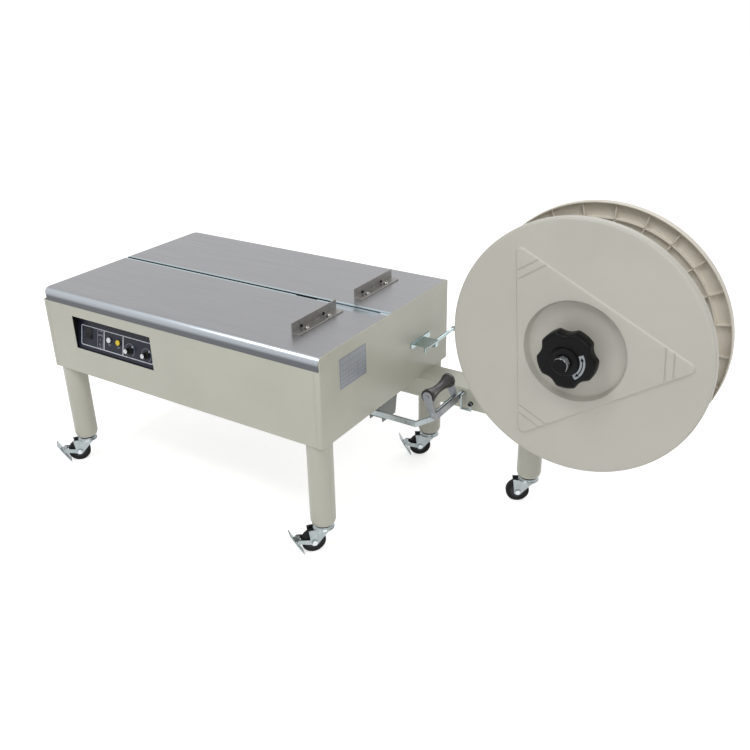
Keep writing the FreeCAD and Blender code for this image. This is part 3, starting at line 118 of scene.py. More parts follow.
class Finish:
    """One node material and the helpers that wire it."""

    def __init__(self, name, colour, roughness, metallic=0.0):
        """A new material; the helpers below vary its colour and roughness."""
        self.material = bpy.data.materials.new(name)
        self.material.use_nodes = True
        self.tree = self.material.node_tree
        self.link = self.tree.links.new
        self.shader = set_inputs(self.tree.nodes["Principled BSDF"], {"Metallic": metallic})
        self.colour = colour
        self.roughness = roughness
        self.normal = None

    def vector(self, stretch=(1, 1, 1)):
        """The piece's own coordinates, scaled along each axis."""
        coords = new_node(self.tree, "TexCoord")
        mapping = new_node(self.tree, "Mapping", {"Scale": stretch})
        self.link(coords.outputs["Object"], mapping.inputs["Vector"])
        return mapping.outputs["Vector"]

    def noise(self, scale, detail=2.0, stretch=(1, 1, 1), distortion=0.0):
        """A cloudy pattern, drawn out where it is stretched."""
        node = new_node(self.tree, "TexNoise", {"Scale": scale, "Detail": detail, "Distortion": distortion})
        self.link(self.vector(stretch), node.inputs["Vector"])
        return node.outputs["Fac"]

    def cells(self, scale):
        """A pattern of round cells."""
        node = new_node(self.tree, "TexVoronoi", {"Scale": scale})
        self.link(self.vector(), node.inputs["Vector"])
        return node.outputs["Distance"]

    def place(self, axis):
        """The surface's place along X, Y or Z, in metres."""
        parts = new_node(self.tree, "SeparateXYZ")
        self.link(new_node(self.tree, "NewGeometry").outputs["Position"], parts.inputs["Vector"])
        return parts.outputs[axis]

    def spread(self, factor, low, high, start=0.3, end=0.7):
        """The factor's stretch from start to end, mapped to the values from low to high."""
        node = new_node(self.tree, "MapRange", {"From Min": start, "From Max": end,
                                                "To Min": low, "To Max": high})
        self.link(factor, node.inputs["Value"])
        return node.outputs["Result"]

    def near(self, axis, middle, reach):
        """One close to a place along an axis, falling to zero; reach holds both distances in millimetres."""
        offset = calculated(self.tree, "SUBTRACT", self.place(axis), middle)
        close, far = reach
        return self.spread(calculated(self.tree, "ABSOLUTE", offset), 1.0, 0.0, close * MM, far * MM)

    def vary_roughness(self, factor, amount):
        """A roughness that swings about its mean by an amount."""
        low = max(LEAST_ROUGHNESS, self.roughness - amount)
        self.link(self.spread(factor, low, self.roughness + amount), self.shader.inputs["Roughness"])

    def vary_colour(self, layers):
        """Layers of (factor, colour, start, end, strength) over the base colour."""
        result = None
        for factor, colour, start, end, strength in layers:
            mix = self.tree.nodes.new("ShaderNodeMix")
            mix.data_type = "RGBA"
            if result is None:
                mix.inputs["A"].default_value = (*self.colour, 1)
            else:
                self.link(result, mix.inputs["A"])
            mix.inputs["B"].default_value = (*colour, 1)
            self.link(self.spread(factor, 0.0, strength, start, end), mix.inputs["Factor"])
            result = mix.outputs["Result"]
        self.link(result, self.shader.inputs["Base Color"])

    def bump(self, factor, depth, strength=1.0):
        """A relief of some millimetres, over those that were added before."""
        node = new_node(self.tree, "Bump", {"Strength": strength, "Distance": depth * MM})
        self.link(factor, node.inputs["Height"])
        if self.normal is not None:
            self.link(self.normal, node.inputs["Normal"])
        self.normal = node.outputs["Normal"]
        self.link(self.normal, self.shader.inputs["Normal"])


def shaded(colour, share):
    """A colour made darker or lighter by a share."""
    return tuple(min(1.0, channel * share) for channel in colour)


def paint(name, colour, roughness=0.38):
    """Sprayed paint on sheet steel: a faint orange peel, soft patches and a little dust."""
    made = Finish(name, colour, roughness)
    patches = made.noise(5.0, 3.0)
    dust = made.noise(160.0, 4.0)
    made.vary_colour([(patches, shaded(colour, 0.93), 0.35, 0.7, 1.0),
                      (dust, shaded(colour, 0.86), 0.62, 0.8, 0.5)])
    made.vary_roughness(made.noise(9.0, 3.0), 0.07)
    made.bump(made.noise(420.0), 0.05, 0.35)
    made.bump(made.noise(60.0, 1.0), 0.05, 0.25)
    set_inputs(made.shader, {"Coat Weight": 0.15, "Coat Roughness": 0.25})
    return made.material


def moulded(name, colour, roughness=0.42, grain=0.05, gloss=0.5):
    """Moulded plastic: fine spark grain and slow flow variation in tone."""
    made = Finish(name, colour, roughness)
    set_inputs(made.shader, {"Specular IOR Level": gloss})
    flow = made.noise(3.5, distortion=0.8)
    specks = made.noise(230.0, 3.0)
    made.vary_colour([(flow, shaded(colour, 0.94), 0.3, 0.7, 1.0),
                      (specks, shaded(colour, 0.88), 0.6, 0.85, 0.5)])
    made.vary_roughness(made.noise(12.0, 3.0), 0.06)
    made.bump(made.noise(900.0), grain, 0.4)
    return made.material


def brushed(name, colour, roughness, stretch, grain=0.03):
    """Metal with a fine grain drawn along one direction."""
    made = Finish(name, colour, roughness, 1.0)
    lines = made.noise(1.0, 4.0, stretch)
    clouds = made.noise(4.0, 3.0)
    made.vary_colour([(lines, shaded(colour, 0.82), 0.35, 0.75, 0.8),
                      (clouds, shaded(colour, 0.93), 0.35, 0.7, 1.0)])
    made.vary_roughness(lines, 0.07)
    made.bump(lines, grain, 0.3)
    return made.material


def rolled_sheet(name, colour, bend_highlight, lip_shade, roughness):
    """Brushed sheet with a painted highlight on its bends, a painted dark reflection on its lips, a painted
    highlight along the strap gap's edges and painted shade on the gap's walls.
    """
    made = Finish(name, colour, roughness, 1.0)
    lines = made.noise(1.0, 4.0, (8, 420, 420))
    clouds = made.noise(4.0, 3.0)
    height = made.place("Z")
    # Masks of the painted highlight along the gap's edges and of the painted shade on the gap's walls
    gap_highlight = made.near("Y", at(0, GAP_HIGHLIGHT_Y, 0).y, GAP_HIGHLIGHT_REACH)
    gap_shade = calculated(made.tree, "MULTIPLY", made.near("Y", at(0, STRAP_GAP_Y, 0).y, GAP_SHADE_REACH),
                          made.spread(height, 1.0, 0.0, *under_top(GAP_SHADE_DEPTHS)))
    # After the brushed lines and clouds, the layers are painted light: the bend's highlight, the lip's dark
    # reflection, the gap edges' highlight and the gap walls' shade
    made.vary_colour([(lines, shaded(colour, 0.88), 0.35, 0.75, 0.8),
                      (clouds, shaded(colour, 0.95), 0.35, 0.7, 1.0),
                      (height, bend_highlight, *under_top(BEND_HIGHLIGHT_DEPTHS), 1.0),
                      (height, lip_shade, *under_top(LIP_SHADE_DEPTHS), 1.0),
                      (gap_highlight, GAP_HIGHLIGHT_COLOUR, 0.0, 1.0, 1.0),
                      (gap_shade, shaded(lip_shade, 0.35), 0.0, 1.0, 1.0)])
    made.vary_roughness(lines, 0.06)
    made.bump(lines, 0.03, 0.3)
    return made.material


def plated(name, colour, tint, roughness):
    """Zinc plate: cloudy crystals with a faint cool or warm tint."""
    made = Finish(name, colour, roughness, 1.0)
    clouds = made.noise(45.0, 4.0, distortion=0.6)
    streaks = made.noise(130.0, stretch=(1, 1, 0.25))
    made.vary_colour([(clouds, tint, 0.35, 0.7, 0.7), (streaks, shaded(colour, 0.7), 0.5, 0.8, 0.7)])
    made.vary_roughness(clouds, 0.1)
    made.bump(made.noise(700.0), 0.03, 0.3)
    return made.material


def cast(name, colour, roughness=0.6, metallic=0.0):
    """A sand-cast or hammered surface."""
    made = Finish(name, colour, roughness, metallic)
    patches = made.noise(30.0, 4.0)
    made.vary_colour([(patches, shaded(colour, 0.75), 0.35, 0.7, 1.0)])
    made.vary_roughness(patches, 0.1)
    made.bump(made.cells(500.0), 0.15, 0.5)
    return made.material


def rubber(name, colour, roughness=0.6, gloss=0.2):
    """Tyre or grip rubber with scuffs."""
    made = Finish(name, colour, roughness)
    set_inputs(made.shader, {"Specular IOR Level": gloss})
    scuffs = made.noise(70.0, 5.0)
    made.vary_colour([(scuffs, shaded(colour, 3.2), 0.55, 0.85, 0.8)])
    made.vary_roughness(scuffs, 0.12)
    made.bump(made.noise(600.0, 3.0), 0.1, 0.5)
    return made.material


cream = paint("cream_paint", (0.545, 0.54, 0.462))
cream_moulded = moulded("cream_moulded", (0.545, 0.53, 0.47))
# A lighter copy of the cream moulding: painted light for the reel drum and the rear flange, whose inside lies
# in the front flange's shade
cream_painted_lighter = moulded("cream_moulded_painted_lighter", (0.70, 0.655, 0.57))
# The plates' steel: its second colour is a painted highlight on the rolled bends, its third a painted dark
# reflection on the lips
top_steel = rolled_sheet("brushed_top", (0.36, 0.362, 0.375), (0.50, 0.54, 0.58), (0.115, 0.12, 0.13), 0.33)
edge_steel = brushed("slide_steel", (0.40, 0.46, 0.50), 0.28, (12, 500, 500))
turned_steel = brushed("turned_steel", (0.56, 0.565, 0.58), 0.2, (500, 40, 500), 0.02)
zinc = plated("zinc_plate", (0.40, 0.43, 0.44), (0.34, 0.41, 0.42), 0.34)
guide_zinc = plated("guide_zinc", (0.36, 0.35, 0.335), (0.29, 0.28, 0.27), 0.42)
side_zinc = plated("side_zinc", (0.46, 0.54, 0.55), (0.36, 0.49, 0.49), 0.3)
inlet_steel = plated("inlet_steel", (0.15, 0.155, 0.15), (0.20, 0.21, 0.20), 0.45)
guide_screw_steel = plated("guide_screw_steel", (0.46, 0.45, 0.43), (0.38, 0.37, 0.35), 0.3)
screw_steel = plated("screw_steel", (0.72, 0.74, 0.76), (0.64, 0.68, 0.72), 0.2)
arm_steel = plated("arm_steel", (0.34, 0.345, 0.36), (0.26, 0.28, 0.32), 0.4)
black_moulded = moulded("black_moulded", (0.008, 0.008, 0.009), 0.38, 0.06, 0.25)
knob_black = moulded("knob_black", (0.0025, 0.0025, 0.003), 0.4, 0.05, 0.14)
panel_black = moulded("panel_black", (0.014, 0.016, 0.03), 0.42, 0.04, 0.3)
roller_black = moulded("roller_black", (0.03, 0.022, 0.024), 0.25, 0.03)
tyre_black = rubber("tyre_black", (0.008, 0.008, 0.009))
hub_grey = moulded("hub_grey", (0.035, 0.037, 0.04), 0.45, 0.05, 0.3)
print_white = moulded("print_white", (0.62, 0.66, 0.72), 0.5, 0.02)
# Flat black for the stud's cap, and painted shade for the guides' wall holes and the jaws at the head's
# opening
flat_black_and_painted_shade = moulded("flat_black_and_painted_shade", (0.01, 0.01, 0.011), 0.7, 0.02, 0.1)
print_grey = moulded("print_grey", (0.28, 0.30, 0.34), 0.5, 0.02)
label_grey = moulded("label_grey", (0.36, 0.39, 0.42), 0.5, 0.02)
dial_pale = moulded("dial_pale", (0.80, 0.82, 0.83), 0.4, 0.02)
button_white = moulded("button_white", (0.80, 0.82, 0.88), 0.22, 0.01)
button_yellow = moulded("button_yellow", (0.80, 0.58, 0.012), 0.22, 0.01)
plate_grey = brushed("nameplate_grey", (0.40, 0.42, 0.46), 0.45, (300, 300, 12), 0.02)
plate_line = moulded("nameplate_line", (0.16, 0.17, 0.19), 0.5, 0.02)
cast_iron = cast("cast_iron", (0.13, 0.135, 0.14), 0.55, 0.3)
motor_paint = cast("motor_paint", (0.045, 0.06, 0.085), 0.45)
core_steel = cast("core_steel", (0.05, 0.04, 0.035), 0.5)

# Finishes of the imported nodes; those that aren't named here are painted cream
FINISHES = (
    (top_steel, "front_table_plate rear_table_plate"), (edge_steel, "strap_ramp slide_plate"),
    (guide_zinc, "front_box_guide rear_box_guide"), (side_zinc, "side_guide_bracket side_guide_rod"),
    (black_moulded, "cable_gland control_housing power_switch left_dial right_dial"),
    (zinc, "caster_stems guide_bar strap_hook"), (panel_black, "control_panel"),
    (button_white, "white_button"), (button_yellow, "yellow_button"), (inlet_steel, "strap_inlet"),
    (turned_steel, "reel_spindle reel_sleeve cam_shaft"), (cream_painted_lighter, "reel_drum rear_flange"),
    (cream_moulded, "front_flange"), (knob_black, "hand_knob"), (arm_steel, "roller_arm"),
    (roller_black, "guide_roller"), (cast_iron, "sealing_head gear_reducer"),
    (motor_paint, "drive_motor"), (core_steel, "transformer"),
)


def finish_for(name):
    """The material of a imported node."""
    if name.endswith(("_fork", "_brake")):
        return zinc
    if name.endswith("_wheel"):
        return tyre_black
    return next((finish for finish, names in FINISHES if name in names.split()), cream)


for name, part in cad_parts.items():
    if not part.material_slots:
        part.data.materials.append(finish_for(name))
    for place in part.material_slots:
        place.material = finish_for(name)


# Bent sheets get joined faces and rolled edges; sizes in millimetres, angles in degrees
WELD_REACH = 0.01
SHEET_ROLL = 0.5
SHEET_ANGLE = 40
PIECE_ANGLE = 30
ROLL_SEGMENTS = 2
SHEET_ENDINGS = ("_cover", "_table_plate", "_box_guide")
SHEETS = ("strap_ramp", "outrigger_beam", "reel_post", "guide_bar", "roller_arm", "side_guide_bracket",
          "control_panel", "strap_inlet")


def roll_edges(part, width, angle):
    """Rolls the edges of a piece that are sharper than an angle."""
    bevel = part.modifiers.new("rolled_edges", "BEVEL")
    bevel.width = width * MM
    bevel.segments = ROLL_SEGMENTS
    bevel.limit_method = "ANGLE"
    bevel.angle_limit = math.radians(angle)
    bevel.harden_normals = True


for name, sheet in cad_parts.items():
    if name in SHEETS or name.endswith(SHEET_ENDINGS):
        weld = sheet.modifiers.new("joined_faces", "WELD")
        weld.merge_threshold = WELD_REACH * MM
        roll_edges(sheet, SHEET_ROLL, SHEET_ANGLE)


# Mesh helpers
SMOOTH_ANGLE = 35
CUT_SMOOTH_ANGLE = 30
TINY = 1e-6
LONGEST_FILLET_SHARE = 0.49
THIN_ROLL = 0.15


def mesh_of(name, verts, faces):
    """A mesh with its faces turned outward."""
    mesh = bpy.data.meshes.new(name)
    mesh.from_pydata([tuple(v) for v in verts], [], faces)
    mesh.validate()
    turned = bmesh.new()
    turned.from_mesh(mesh)
    bmesh.ops.recalc_face_normals(turned, faces=turned.faces)
    turned.to_mesh(mesh)
    turned.free()
    return mesh


def in_scene(name, data):
    """A new object, linked to the scene."""
    made = bpy.data.objects.new(name, data)
    scene.collection.objects.link(made)
    return made


def smooth(mesh, angle):
    """Smooth shading, split at edges that are sharper than an angle in degrees."""
    mesh.polygons.foreach_set("use_smooth", [True] * len(mesh.polygons))
    mesh.set_sharp_from_angle(angle=math.radians(angle))


def piece(name, verts, faces, material, body):
    """A smooth mesh piece that rides on a body."""
    mesh = mesh_of(name, verts, faces)
    smooth(mesh, SMOOTH_ANGLE)
    mesh.materials.append(material)
    made = in_scene(name, mesh)
    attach(made, body)
    return made


def rounded(profile, steps=5):
    """A flat outline of (u, v, fillet) corners, open at its ends, with each fillet drawn as an arc."""
    points = [Vector(corner[:2]) for corner in profile]
    drawn = [points[0]]
    for index in range(1, len(profile) - 1):
        fillet = profile[index][2]
        here = points[index]
        back = points[index - 1] - here
        ahead = points[index + 1] - here
        if fillet <= 0 or min(back.length, ahead.length) < TINY:
            drawn.append(here)
            continue
        angle = back.angle(ahead)
        run = min(fillet / math.tan(angle / 2), min(back.length, ahead.length) * LONGEST_FILLET_SHARE)
        radius = run * math.tan(angle / 2)
        start = here + back.normalized() * run
        end = here + ahead.normalized() * run
        centre = here + (back.normalized() + ahead.normalized()).normalized() * (radius / math.sin(angle / 2))
        first = start - centre
        sweep = first.angle_signed(end - centre)
        for step in range(steps + 1):
            drawn.append(centre + Matrix.Rotation(-sweep * step / steps, 2) @ first)
    drawn.append(points[-1])
    return drawn


def curve(corners, steps=5):
    """The rounded outline as plain (u, v) points."""
    return [(point.x, point.y) for point in rounded(corners, steps)]


def revolved(name, profile, foot, axis, material, body, segments=96, reach=None, turns=None):
    """Rings about an axis from (radius, height) points in millimetres; the profile is closed.

    reach(index, turn, radius) may change a ring's radius with the turn."""
    axis = axis.normalized()
    along_x = abs(axis.x) > 0.9
    side = (axis.orthogonal() if along_x else Vector((1, 0, 0)) - axis * axis.x).normalized()
    across = axis.cross(side)
    if turns is None:
        turns = [TURN * step / segments for step in range(segments)]
    verts = []
    for index, (radius, height) in enumerate(profile):
        for turn in turns:
            there = reach(index, turn, radius) if reach else radius
            spoke = side * math.cos(turn) + across * math.sin(turn)
            verts.append(foot + spoke * (there * MM) + axis * (height * MM))
    count = len(turns)
    rows = len(profile)
    faces = []
    for row in range(rows):
        here = row * count
        above = (row + 1) % rows * count
        for step in range(count):
            following = (step + 1) % count
            faces.append((here + step, here + following, above + following, above + step))
    return piece(name, verts, faces, material, body)


def extruded(name, outline, sweep, material, body, roll=0.0):
    """A closed outline of scene points swept along a vector, its edges rolled where a width is given."""
    count = len(outline)
    verts = list(outline) + [point + sweep for point in outline]
    faces = [tuple(range(count)), tuple(range(2 * count - 1, count - 1, -1))]
    faces += [(i, (i + 1) % count, (i + 1) % count + count, i + count) for i in range(count)]
    made = piece(name, verts, faces, material, body)
    if roll:
        roll_edges(made, roll, PIECE_ANGLE)
    return made


def joined(name, parts):
    """Several pieces of one material and body as one object."""
    with bpy.context.temp_override(active_object=parts[0], selected_editable_objects=parts,
                                   selected_objects=parts, object=parts[0]):
        bpy.ops.object.join()
    parts[0].name = name
    parts[0].data.name = name
    return parts[0]


# Screws and bolts, in millimetres; a head's other sizes are shares of its radius
AXIS_R = 0.05
SCREW_AXIS_R = 0.01
SCREW_SINK = 0.3
SCREW_SEGMENTS = 36
HEAD_SHARE = 0.62
SOCKET_SHARE = 0.45
SOCKET_RINGS = 4
HEX = 6
WASHER_SINK = 0.2
WASHER_SHEET = 1.2
WASHER_ROLL = 0.3


def screw(name, centre, direction, radius, body, material=screw_steel, style="button"):
    """A screw head of a given radius, its seat on centre, facing along direction."""
    height = radius * HEAD_SHARE
    socket = radius * SOCKET_SHARE
    corners = [(0, -SCREW_SINK, 0), (radius, -SCREW_SINK, 0), (radius, height * 0.35, radius * 0.3),
               (radius * 0.72, height * 0.9, radius * 0.4), (socket * 1.12, height, 0.1),
               (socket, height * 0.92, 0), (socket, height * 0.25, 0), (0, height * 0.2, 0)]
    if style == "hex":
        corners = [(0, -SCREW_SINK, 0), (radius, -SCREW_SINK, 0), (radius, height, radius * 0.12),
                   (0, height, 0)]
    outline = [(max(x, SCREW_AXIS_R), y) for x, y in curve(corners, 3)]

    def six_sided(index, turn, there):
        hexagonal = there > radius / 2 if style == "hex" else index >= len(outline) - SOCKET_RINGS
        if not hexagonal:
            return there
        from_flat = turn % (TURN / HEX) - TURN / HEX / 2
        return there * math.cos(TURN / HEX / 2) / math.cos(from_flat)

    return revolved(name, outline, centre, direction, material, body, SCREW_SEGMENTS, six_sided)


def washer(name, centre, direction, radius, body, material=screw_steel):
    """A flat washer."""
    outline = curve([(AXIS_R, -WASHER_SINK, 0), (radius, -WASHER_SINK, 0),
                     (radius, WASHER_SHEET, WASHER_ROLL), (AXIS_R, WASHER_SHEET, 0)], 2)
    return revolved(name, outline, centre, direction, material, body, SCREW_SEGMENTS)


# Reel flanges: a disc with a rolled rim, a raised triangle, a dished middle and ribs towards the coil
reel_middle = in_table((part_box("front_flange")[0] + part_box("front_flange")[1]) / 2)
REEL_X, REEL_Z = reel_middle.x, reel_middle.z
FLANGE_R = 275.0
FLANGE_DEPTH = 20.0
RECESS_FLOOR = 7.0
RECESS_UNDER = 4.0
# The sheet's outline as radius, height and fillet: its recess, then from the rim back to the recess
RECESS = ((104, RECESS_FLOOR, 4.0), (109, 24, 2.0), (118, 24, 0))
RIM = ((263, FLANGE_DEPTH, 0), (FLANGE_R, FLANGE_DEPTH, 5.0), (FLANGE_R, 0, 1.0), (272, 0, 1.0),
       (272, 17, 2.0), (241, 17, 1.5), (241, 8, 0.8), (238, 8, 0.8), (238, 17, 1.5), (112, 17, 2.0),
       (107, RECESS_UNDER, 2.0))
EMBOSS = 4.0
EMBOSS_INRADIUS = 126.0
EMBOSS_CORNER_R = 13.0
EMBOSS_TURN = math.radians(4)
# Points across the emboss's rolled edge: how far in from it, and how high
EMBOSS_SLOPE = ((4.2, EMBOSS), (3.4, EMBOSS - 0.15), (2.9, EMBOSS - 0.6), (0.8, 0.6), (0.2, 0.15),
                (-0.8, 0.0))
SPINDLE_BORE_R = 24.3
CORNER_STEPS = 24
CORNER_STEP = 0.6
ROUND_STEPS = 240
RIB_COUNT = 24
RIB_SHEET = 2.5
RIB_SPAN = (218.0, 273.5)
RIB_LOW = 8.0
RIB_RISE = 10.5
RIB_PHASE = 0.15
GROOVE_SHARES = (0.66, 0.72)
GROOVE_WIDTH = 3.0
GROOVE_DEPTH = 1.4
GROOVE_END_SHARE = 0.92
CUTTER_HEIGHT = 10.0


def triangle_reach(turn, inset):
    """How far the raised triangle's edge lies from the reel's axis, its edges moved in by an inset."""
    from_corner = (turn - EMBOSS_TURN + TURN / 6) % (TURN / 3) - TURN / 6
    spread = abs(from_corner)
    centre = 2 * (EMBOSS_INRADIUS - EMBOSS_CORNER_R)
    corner_r = EMBOSS_CORNER_R - inset
    tangent = math.atan2(corner_r * math.sin(TURN / 6), centre + corner_r * math.cos(TURN / 6))
    if spread < tangent:
        return centre * math.cos(spread) + math.sqrt(corner_r ** 2 - (centre * math.sin(spread)) ** 2)
    return (EMBOSS_INRADIUS - inset) / math.cos(TURN / 6 - spread)


def flange_turns():
    """Turns round a flange, closer together at the triangle's corners."""
    turns = {round(TURN * step / ROUND_STEPS, 6) for step in range(ROUND_STEPS)}
    for corner in range(3):
        for step in range(-CORNER_STEPS, CORNER_STEPS + 1):
            turn = EMBOSS_TURN + corner * TURN / 3 + math.radians(step * CORNER_STEP)
            turns.add(round(turn % TURN, 6))
    return sorted(turns)


def flange(name, y, outward, bore, material, body):
    """One flange, its inner face at y, with its ribs joined and its grooves cut."""
    rings = [(*point, None) for point in curve([(bore, RECESS_FLOOR, 0), *RECESS], 5)]
    rings += [(0, FLANGE_DEPTH + lift, inset) for inset, lift in EMBOSS_SLOPE]
    rings += [(*point, None) for point in curve([*RIM, (bore, RECESS_UNDER, 0)], 4)]
    insets = [ring[2] for ring in rings]

    def reach(index, turn, radius):
        return radius if insets[index] is None else triangle_reach(turn, insets[index])

    foot = at(REEL_X, y, REEL_Z)
    axis = Vector((0, outward, 0))
    made = revolved(name, [ring[:2] for ring in rings], foot, axis, material, body,
                    reach=reach, turns=flange_turns())
    across = axis.cross(Vector((1, 0, 0)))

    def placed(u, v, w):
        return foot + Vector((u, 0, 0)) * MM + across * (v * MM) + axis * (w * MM)

    cut_grooves(made, placed)
    ribs = []
    for index in range(RIB_COUNT):
        turn = (index + RIB_PHASE) * TURN / RIB_COUNT
        outline = [placed(c.x, c.y, RIB_LOW) for c in bar(turn, *RIB_SPAN, RIB_SHEET / 2)]
        ribs.append(extruded(name + "_rib", outline, axis * (RIB_RISE * MM), material, body))
    whole = joined(name, [made] + ribs)
    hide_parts(name.replace("_moulding", ""))


def bar(turn, near, far, half):
    """The flat corners of a bar that lies outward at a turn, from near to far and half a width each way."""
    out = Vector((math.cos(turn), math.sin(turn)))
    side = Vector((-out.y, out.x)) * half
    return [out * near - side, out * far - side, out * far + side, out * near + side]


def cut_grooves(target, placed):
    """Two shallow grooves across each corner of the raised triangle."""
    cutters = []
    for corner in range(3):
        turn = EMBOSS_TURN + corner * TURN / 3
        for share in GROOVE_SHARES:
            near = FLANGE_R * share
            half = FLANGE_R * (GROOVE_END_SHARE - share) / math.tan(TURN / 6) + EMBOSS_CORNER_R
            corners = bar(turn, near, near + GROOVE_WIDTH, half)
            low = FLANGE_DEPTH + EMBOSS - GROOVE_DEPTH
            ends = (low, low + CUTTER_HEIGHT)
            cutters.append([placed(c.x, c.y, height) for height in ends for c in corners])
    faces = []
    for number in range(len(cutters)):
        low, high = number * 8, number * 8 + 4
        faces += [tuple(range(low, low + 4)), tuple(range(high + 3, high - 1, -1))]
        for side in range(4):
            following = (side + 1) % 4
            faces.append((low + side, low + following, high + following, high + side))
    subtract(target, [vert for cutter in cutters for vert in cutter], faces)


def subtract(target, verts, faces):
    """Cuts closed boxes out of a piece and keeps its smooth shading."""
    cutter = in_scene("cutter", mesh_of("cutter", verts, faces))
    cut = target.modifiers.new("cut", "BOOLEAN")
    cut.object = cutter
    cut.solver = "EXACT"
    apply_modifiers(target)
    bpy.data.objects.remove(cutter)
    smooth(target.data, CUT_SMOOTH_ANGLE)


def apply_modifiers(target):
    """Replaces a piece's mesh by what its modifiers make of it."""
    graph = bpy.context.evaluated_depsgraph_get()
    made = bpy.data.meshes.new_from_object(target.evaluated_get(graph))
    old = target.data
    target.modifiers.clear()
    target.data = made
    made.name = target.name
    bpy.data.meshes.remove(old)


# Hand knob: a lobed disc on a round neck, drawn as rings about the reel's axis
STUD_R = 15.0
STUD_BORE_R = STUD_R + 0.3
KNOB_NECK = 37.0
KNOB_R = 61.5
KNOB_FACE = KNOB_NECK + 30.0
# The neck behind the lobed disc and the boss before it, as radius, height and fillet
KNOB_NECK_EDGE = ((STUD_BORE_R, 0, 0), (26, 0, 1.2), (26, KNOB_NECK, 4.0), (38, KNOB_NECK, 0))
KNOB_BOSS_EDGE = ((39, KNOB_FACE - 1.2, 2.0), (31, KNOB_FACE - 1.2, 1.6), (28.52, KNOB_FACE + 7, 2.2),
                  (18, KNOB_FACE + 7, 0.8), (STUD_BORE_R, KNOB_FACE + 5, 0))
KNOB_NOTCH_R = 30.0
KNOB_NOTCH_REACH = KNOB_R * 1.365
KNOB_PHASE = math.radians(22)
KNOB_LOBES = 5
KNOB_BLEND = 6.0
KNOB_FAR = 7.0
KNOB_BACK_EDGE = ((8.0, 0.0), (2.4, 0.0), (0.7, 0.7), (0.0, 2.4))
KNOB_ROLL = 8.0
KNOB_ROLL_STEPS = 8
KNOB_SEGMENTS = 300
KNOB_LABEL_R = 37.2
KNOB_LABEL_WIDTH = 10.8
KNOB_LABEL_TURNS = (-56, 30)
KNOB_ARROW_TURNS = (-38, 12)
KNOB_ARROW_LINE = 2.2
KNOB_ARROW_HALF = 4.0
KNOB_ARROW_POINT = 13
STUD_SEGMENTS = 72
THREAD_START = 3.0
THREAD_PITCH = 3.2
THREAD_TURNS = 5
THREAD_CREST = 0.26
THREAD_ROOT = 0.04
THREAD_CREST_SHARES = (0.15, 0.85)
THREAD_SINK = 1.0
STUD_CAP = ((AXIS_R, -1.6, 0), (STUD_R + 0.1, -1.6, 0), (STUD_R - 0.9, 0.3, 0.8), (STUD_R - 5, 0.1, 0.5),
            (AXIS_R, 0.1, 0))


def knob_reach(turn):
    """The lobed outline: a circle with round notches, blended by a soft minimum."""
    from_notch = (turn - KNOB_PHASE + TURN / KNOB_LOBES / 2) % (TURN / KNOB_LOBES) - TURN / KNOB_LOBES / 2
    sideways = KNOB_NOTCH_REACH * math.sin(from_notch)
    if abs(sideways) < KNOB_NOTCH_R:
        notch = KNOB_NOTCH_REACH * math.cos(from_notch) - math.sqrt(KNOB_NOTCH_R ** 2 - sideways ** 2)
    else:
        notch = KNOB_R + (abs(sideways) - KNOB_NOTCH_R) * 2 + KNOB_FAR
    share = max(0.0, min(1.0, 0.5 + 0.5 * (KNOB_R - notch) / KNOB_BLEND))
    return KNOB_R * (1 - share) + notch * share - KNOB_BLEND * share * (1 - share)


def hand_knob():
    """The knob's neck, lobed grip and boss in one piece, and its printed mark."""
    back = in_table(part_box("hand_knob")[1]).y
    neck = curve(KNOB_NECK_EDGE, 4)
    lobed = [(inset, KNOB_NECK + height) for inset, height in KNOB_BACK_EDGE]
    lobed.append((0.0, KNOB_FACE - KNOB_ROLL))
    for step in range(1, KNOB_ROLL_STEPS + 1):
        turn = TURN / 4 * step / KNOB_ROLL_STEPS
        lobed.append((KNOB_ROLL * (1 - math.cos(turn)), KNOB_FACE - KNOB_ROLL + KNOB_ROLL * math.sin(turn)))
    lobed.append((KNOB_ROLL + 3, KNOB_FACE))
    rings = neck + [(KNOB_R - inset, height) for inset, height in lobed] + curve(KNOB_BOSS_EDGE, 5)
    first = len(neck)

    def reach(index, turn, radius):
        return knob_reach(turn) - lobed[index - first][0] if first <= index < first + len(lobed) else radius

    made = revolved("knob_grip", rings, at(REEL_X, back, REEL_Z), Vector((0, -1, 0)), knob_black, "hand_knob",
                    KNOB_SEGMENTS, reach)
    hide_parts("hand_knob")
    knob_mark(back - KNOB_FACE)


def stud_end():
    """The threaded end of the reel's stud, with a dark cap over its face."""
    foot = at(REEL_X, in_table(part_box("reel_sleeve")[0]).y, REEL_Z)
    out = Vector((0, -1, 0))
    revolved("stud_plug", curve(STUD_CAP, 3), foot, out, flat_black_and_painted_shade, "reel", STUD_SEGMENTS)
    thread = []
    for index in range(THREAD_TURNS):
        height = -THREAD_START - index * THREAD_PITCH
        thread += [(STUD_R + THREAD_CREST, height - THREAD_PITCH * share) for share in THREAD_CREST_SHARES]
        thread.append((STUD_R + THREAD_ROOT, height - THREAD_PITCH))
    thread += [(STUD_R - THREAD_SINK, -THREAD_START - THREAD_TURNS * THREAD_PITCH),
               (STUD_R - THREAD_SINK, -THREAD_START)]
    revolved("stud_thread", thread, foot, out, screw_steel, "reel", STUD_SEGMENTS)


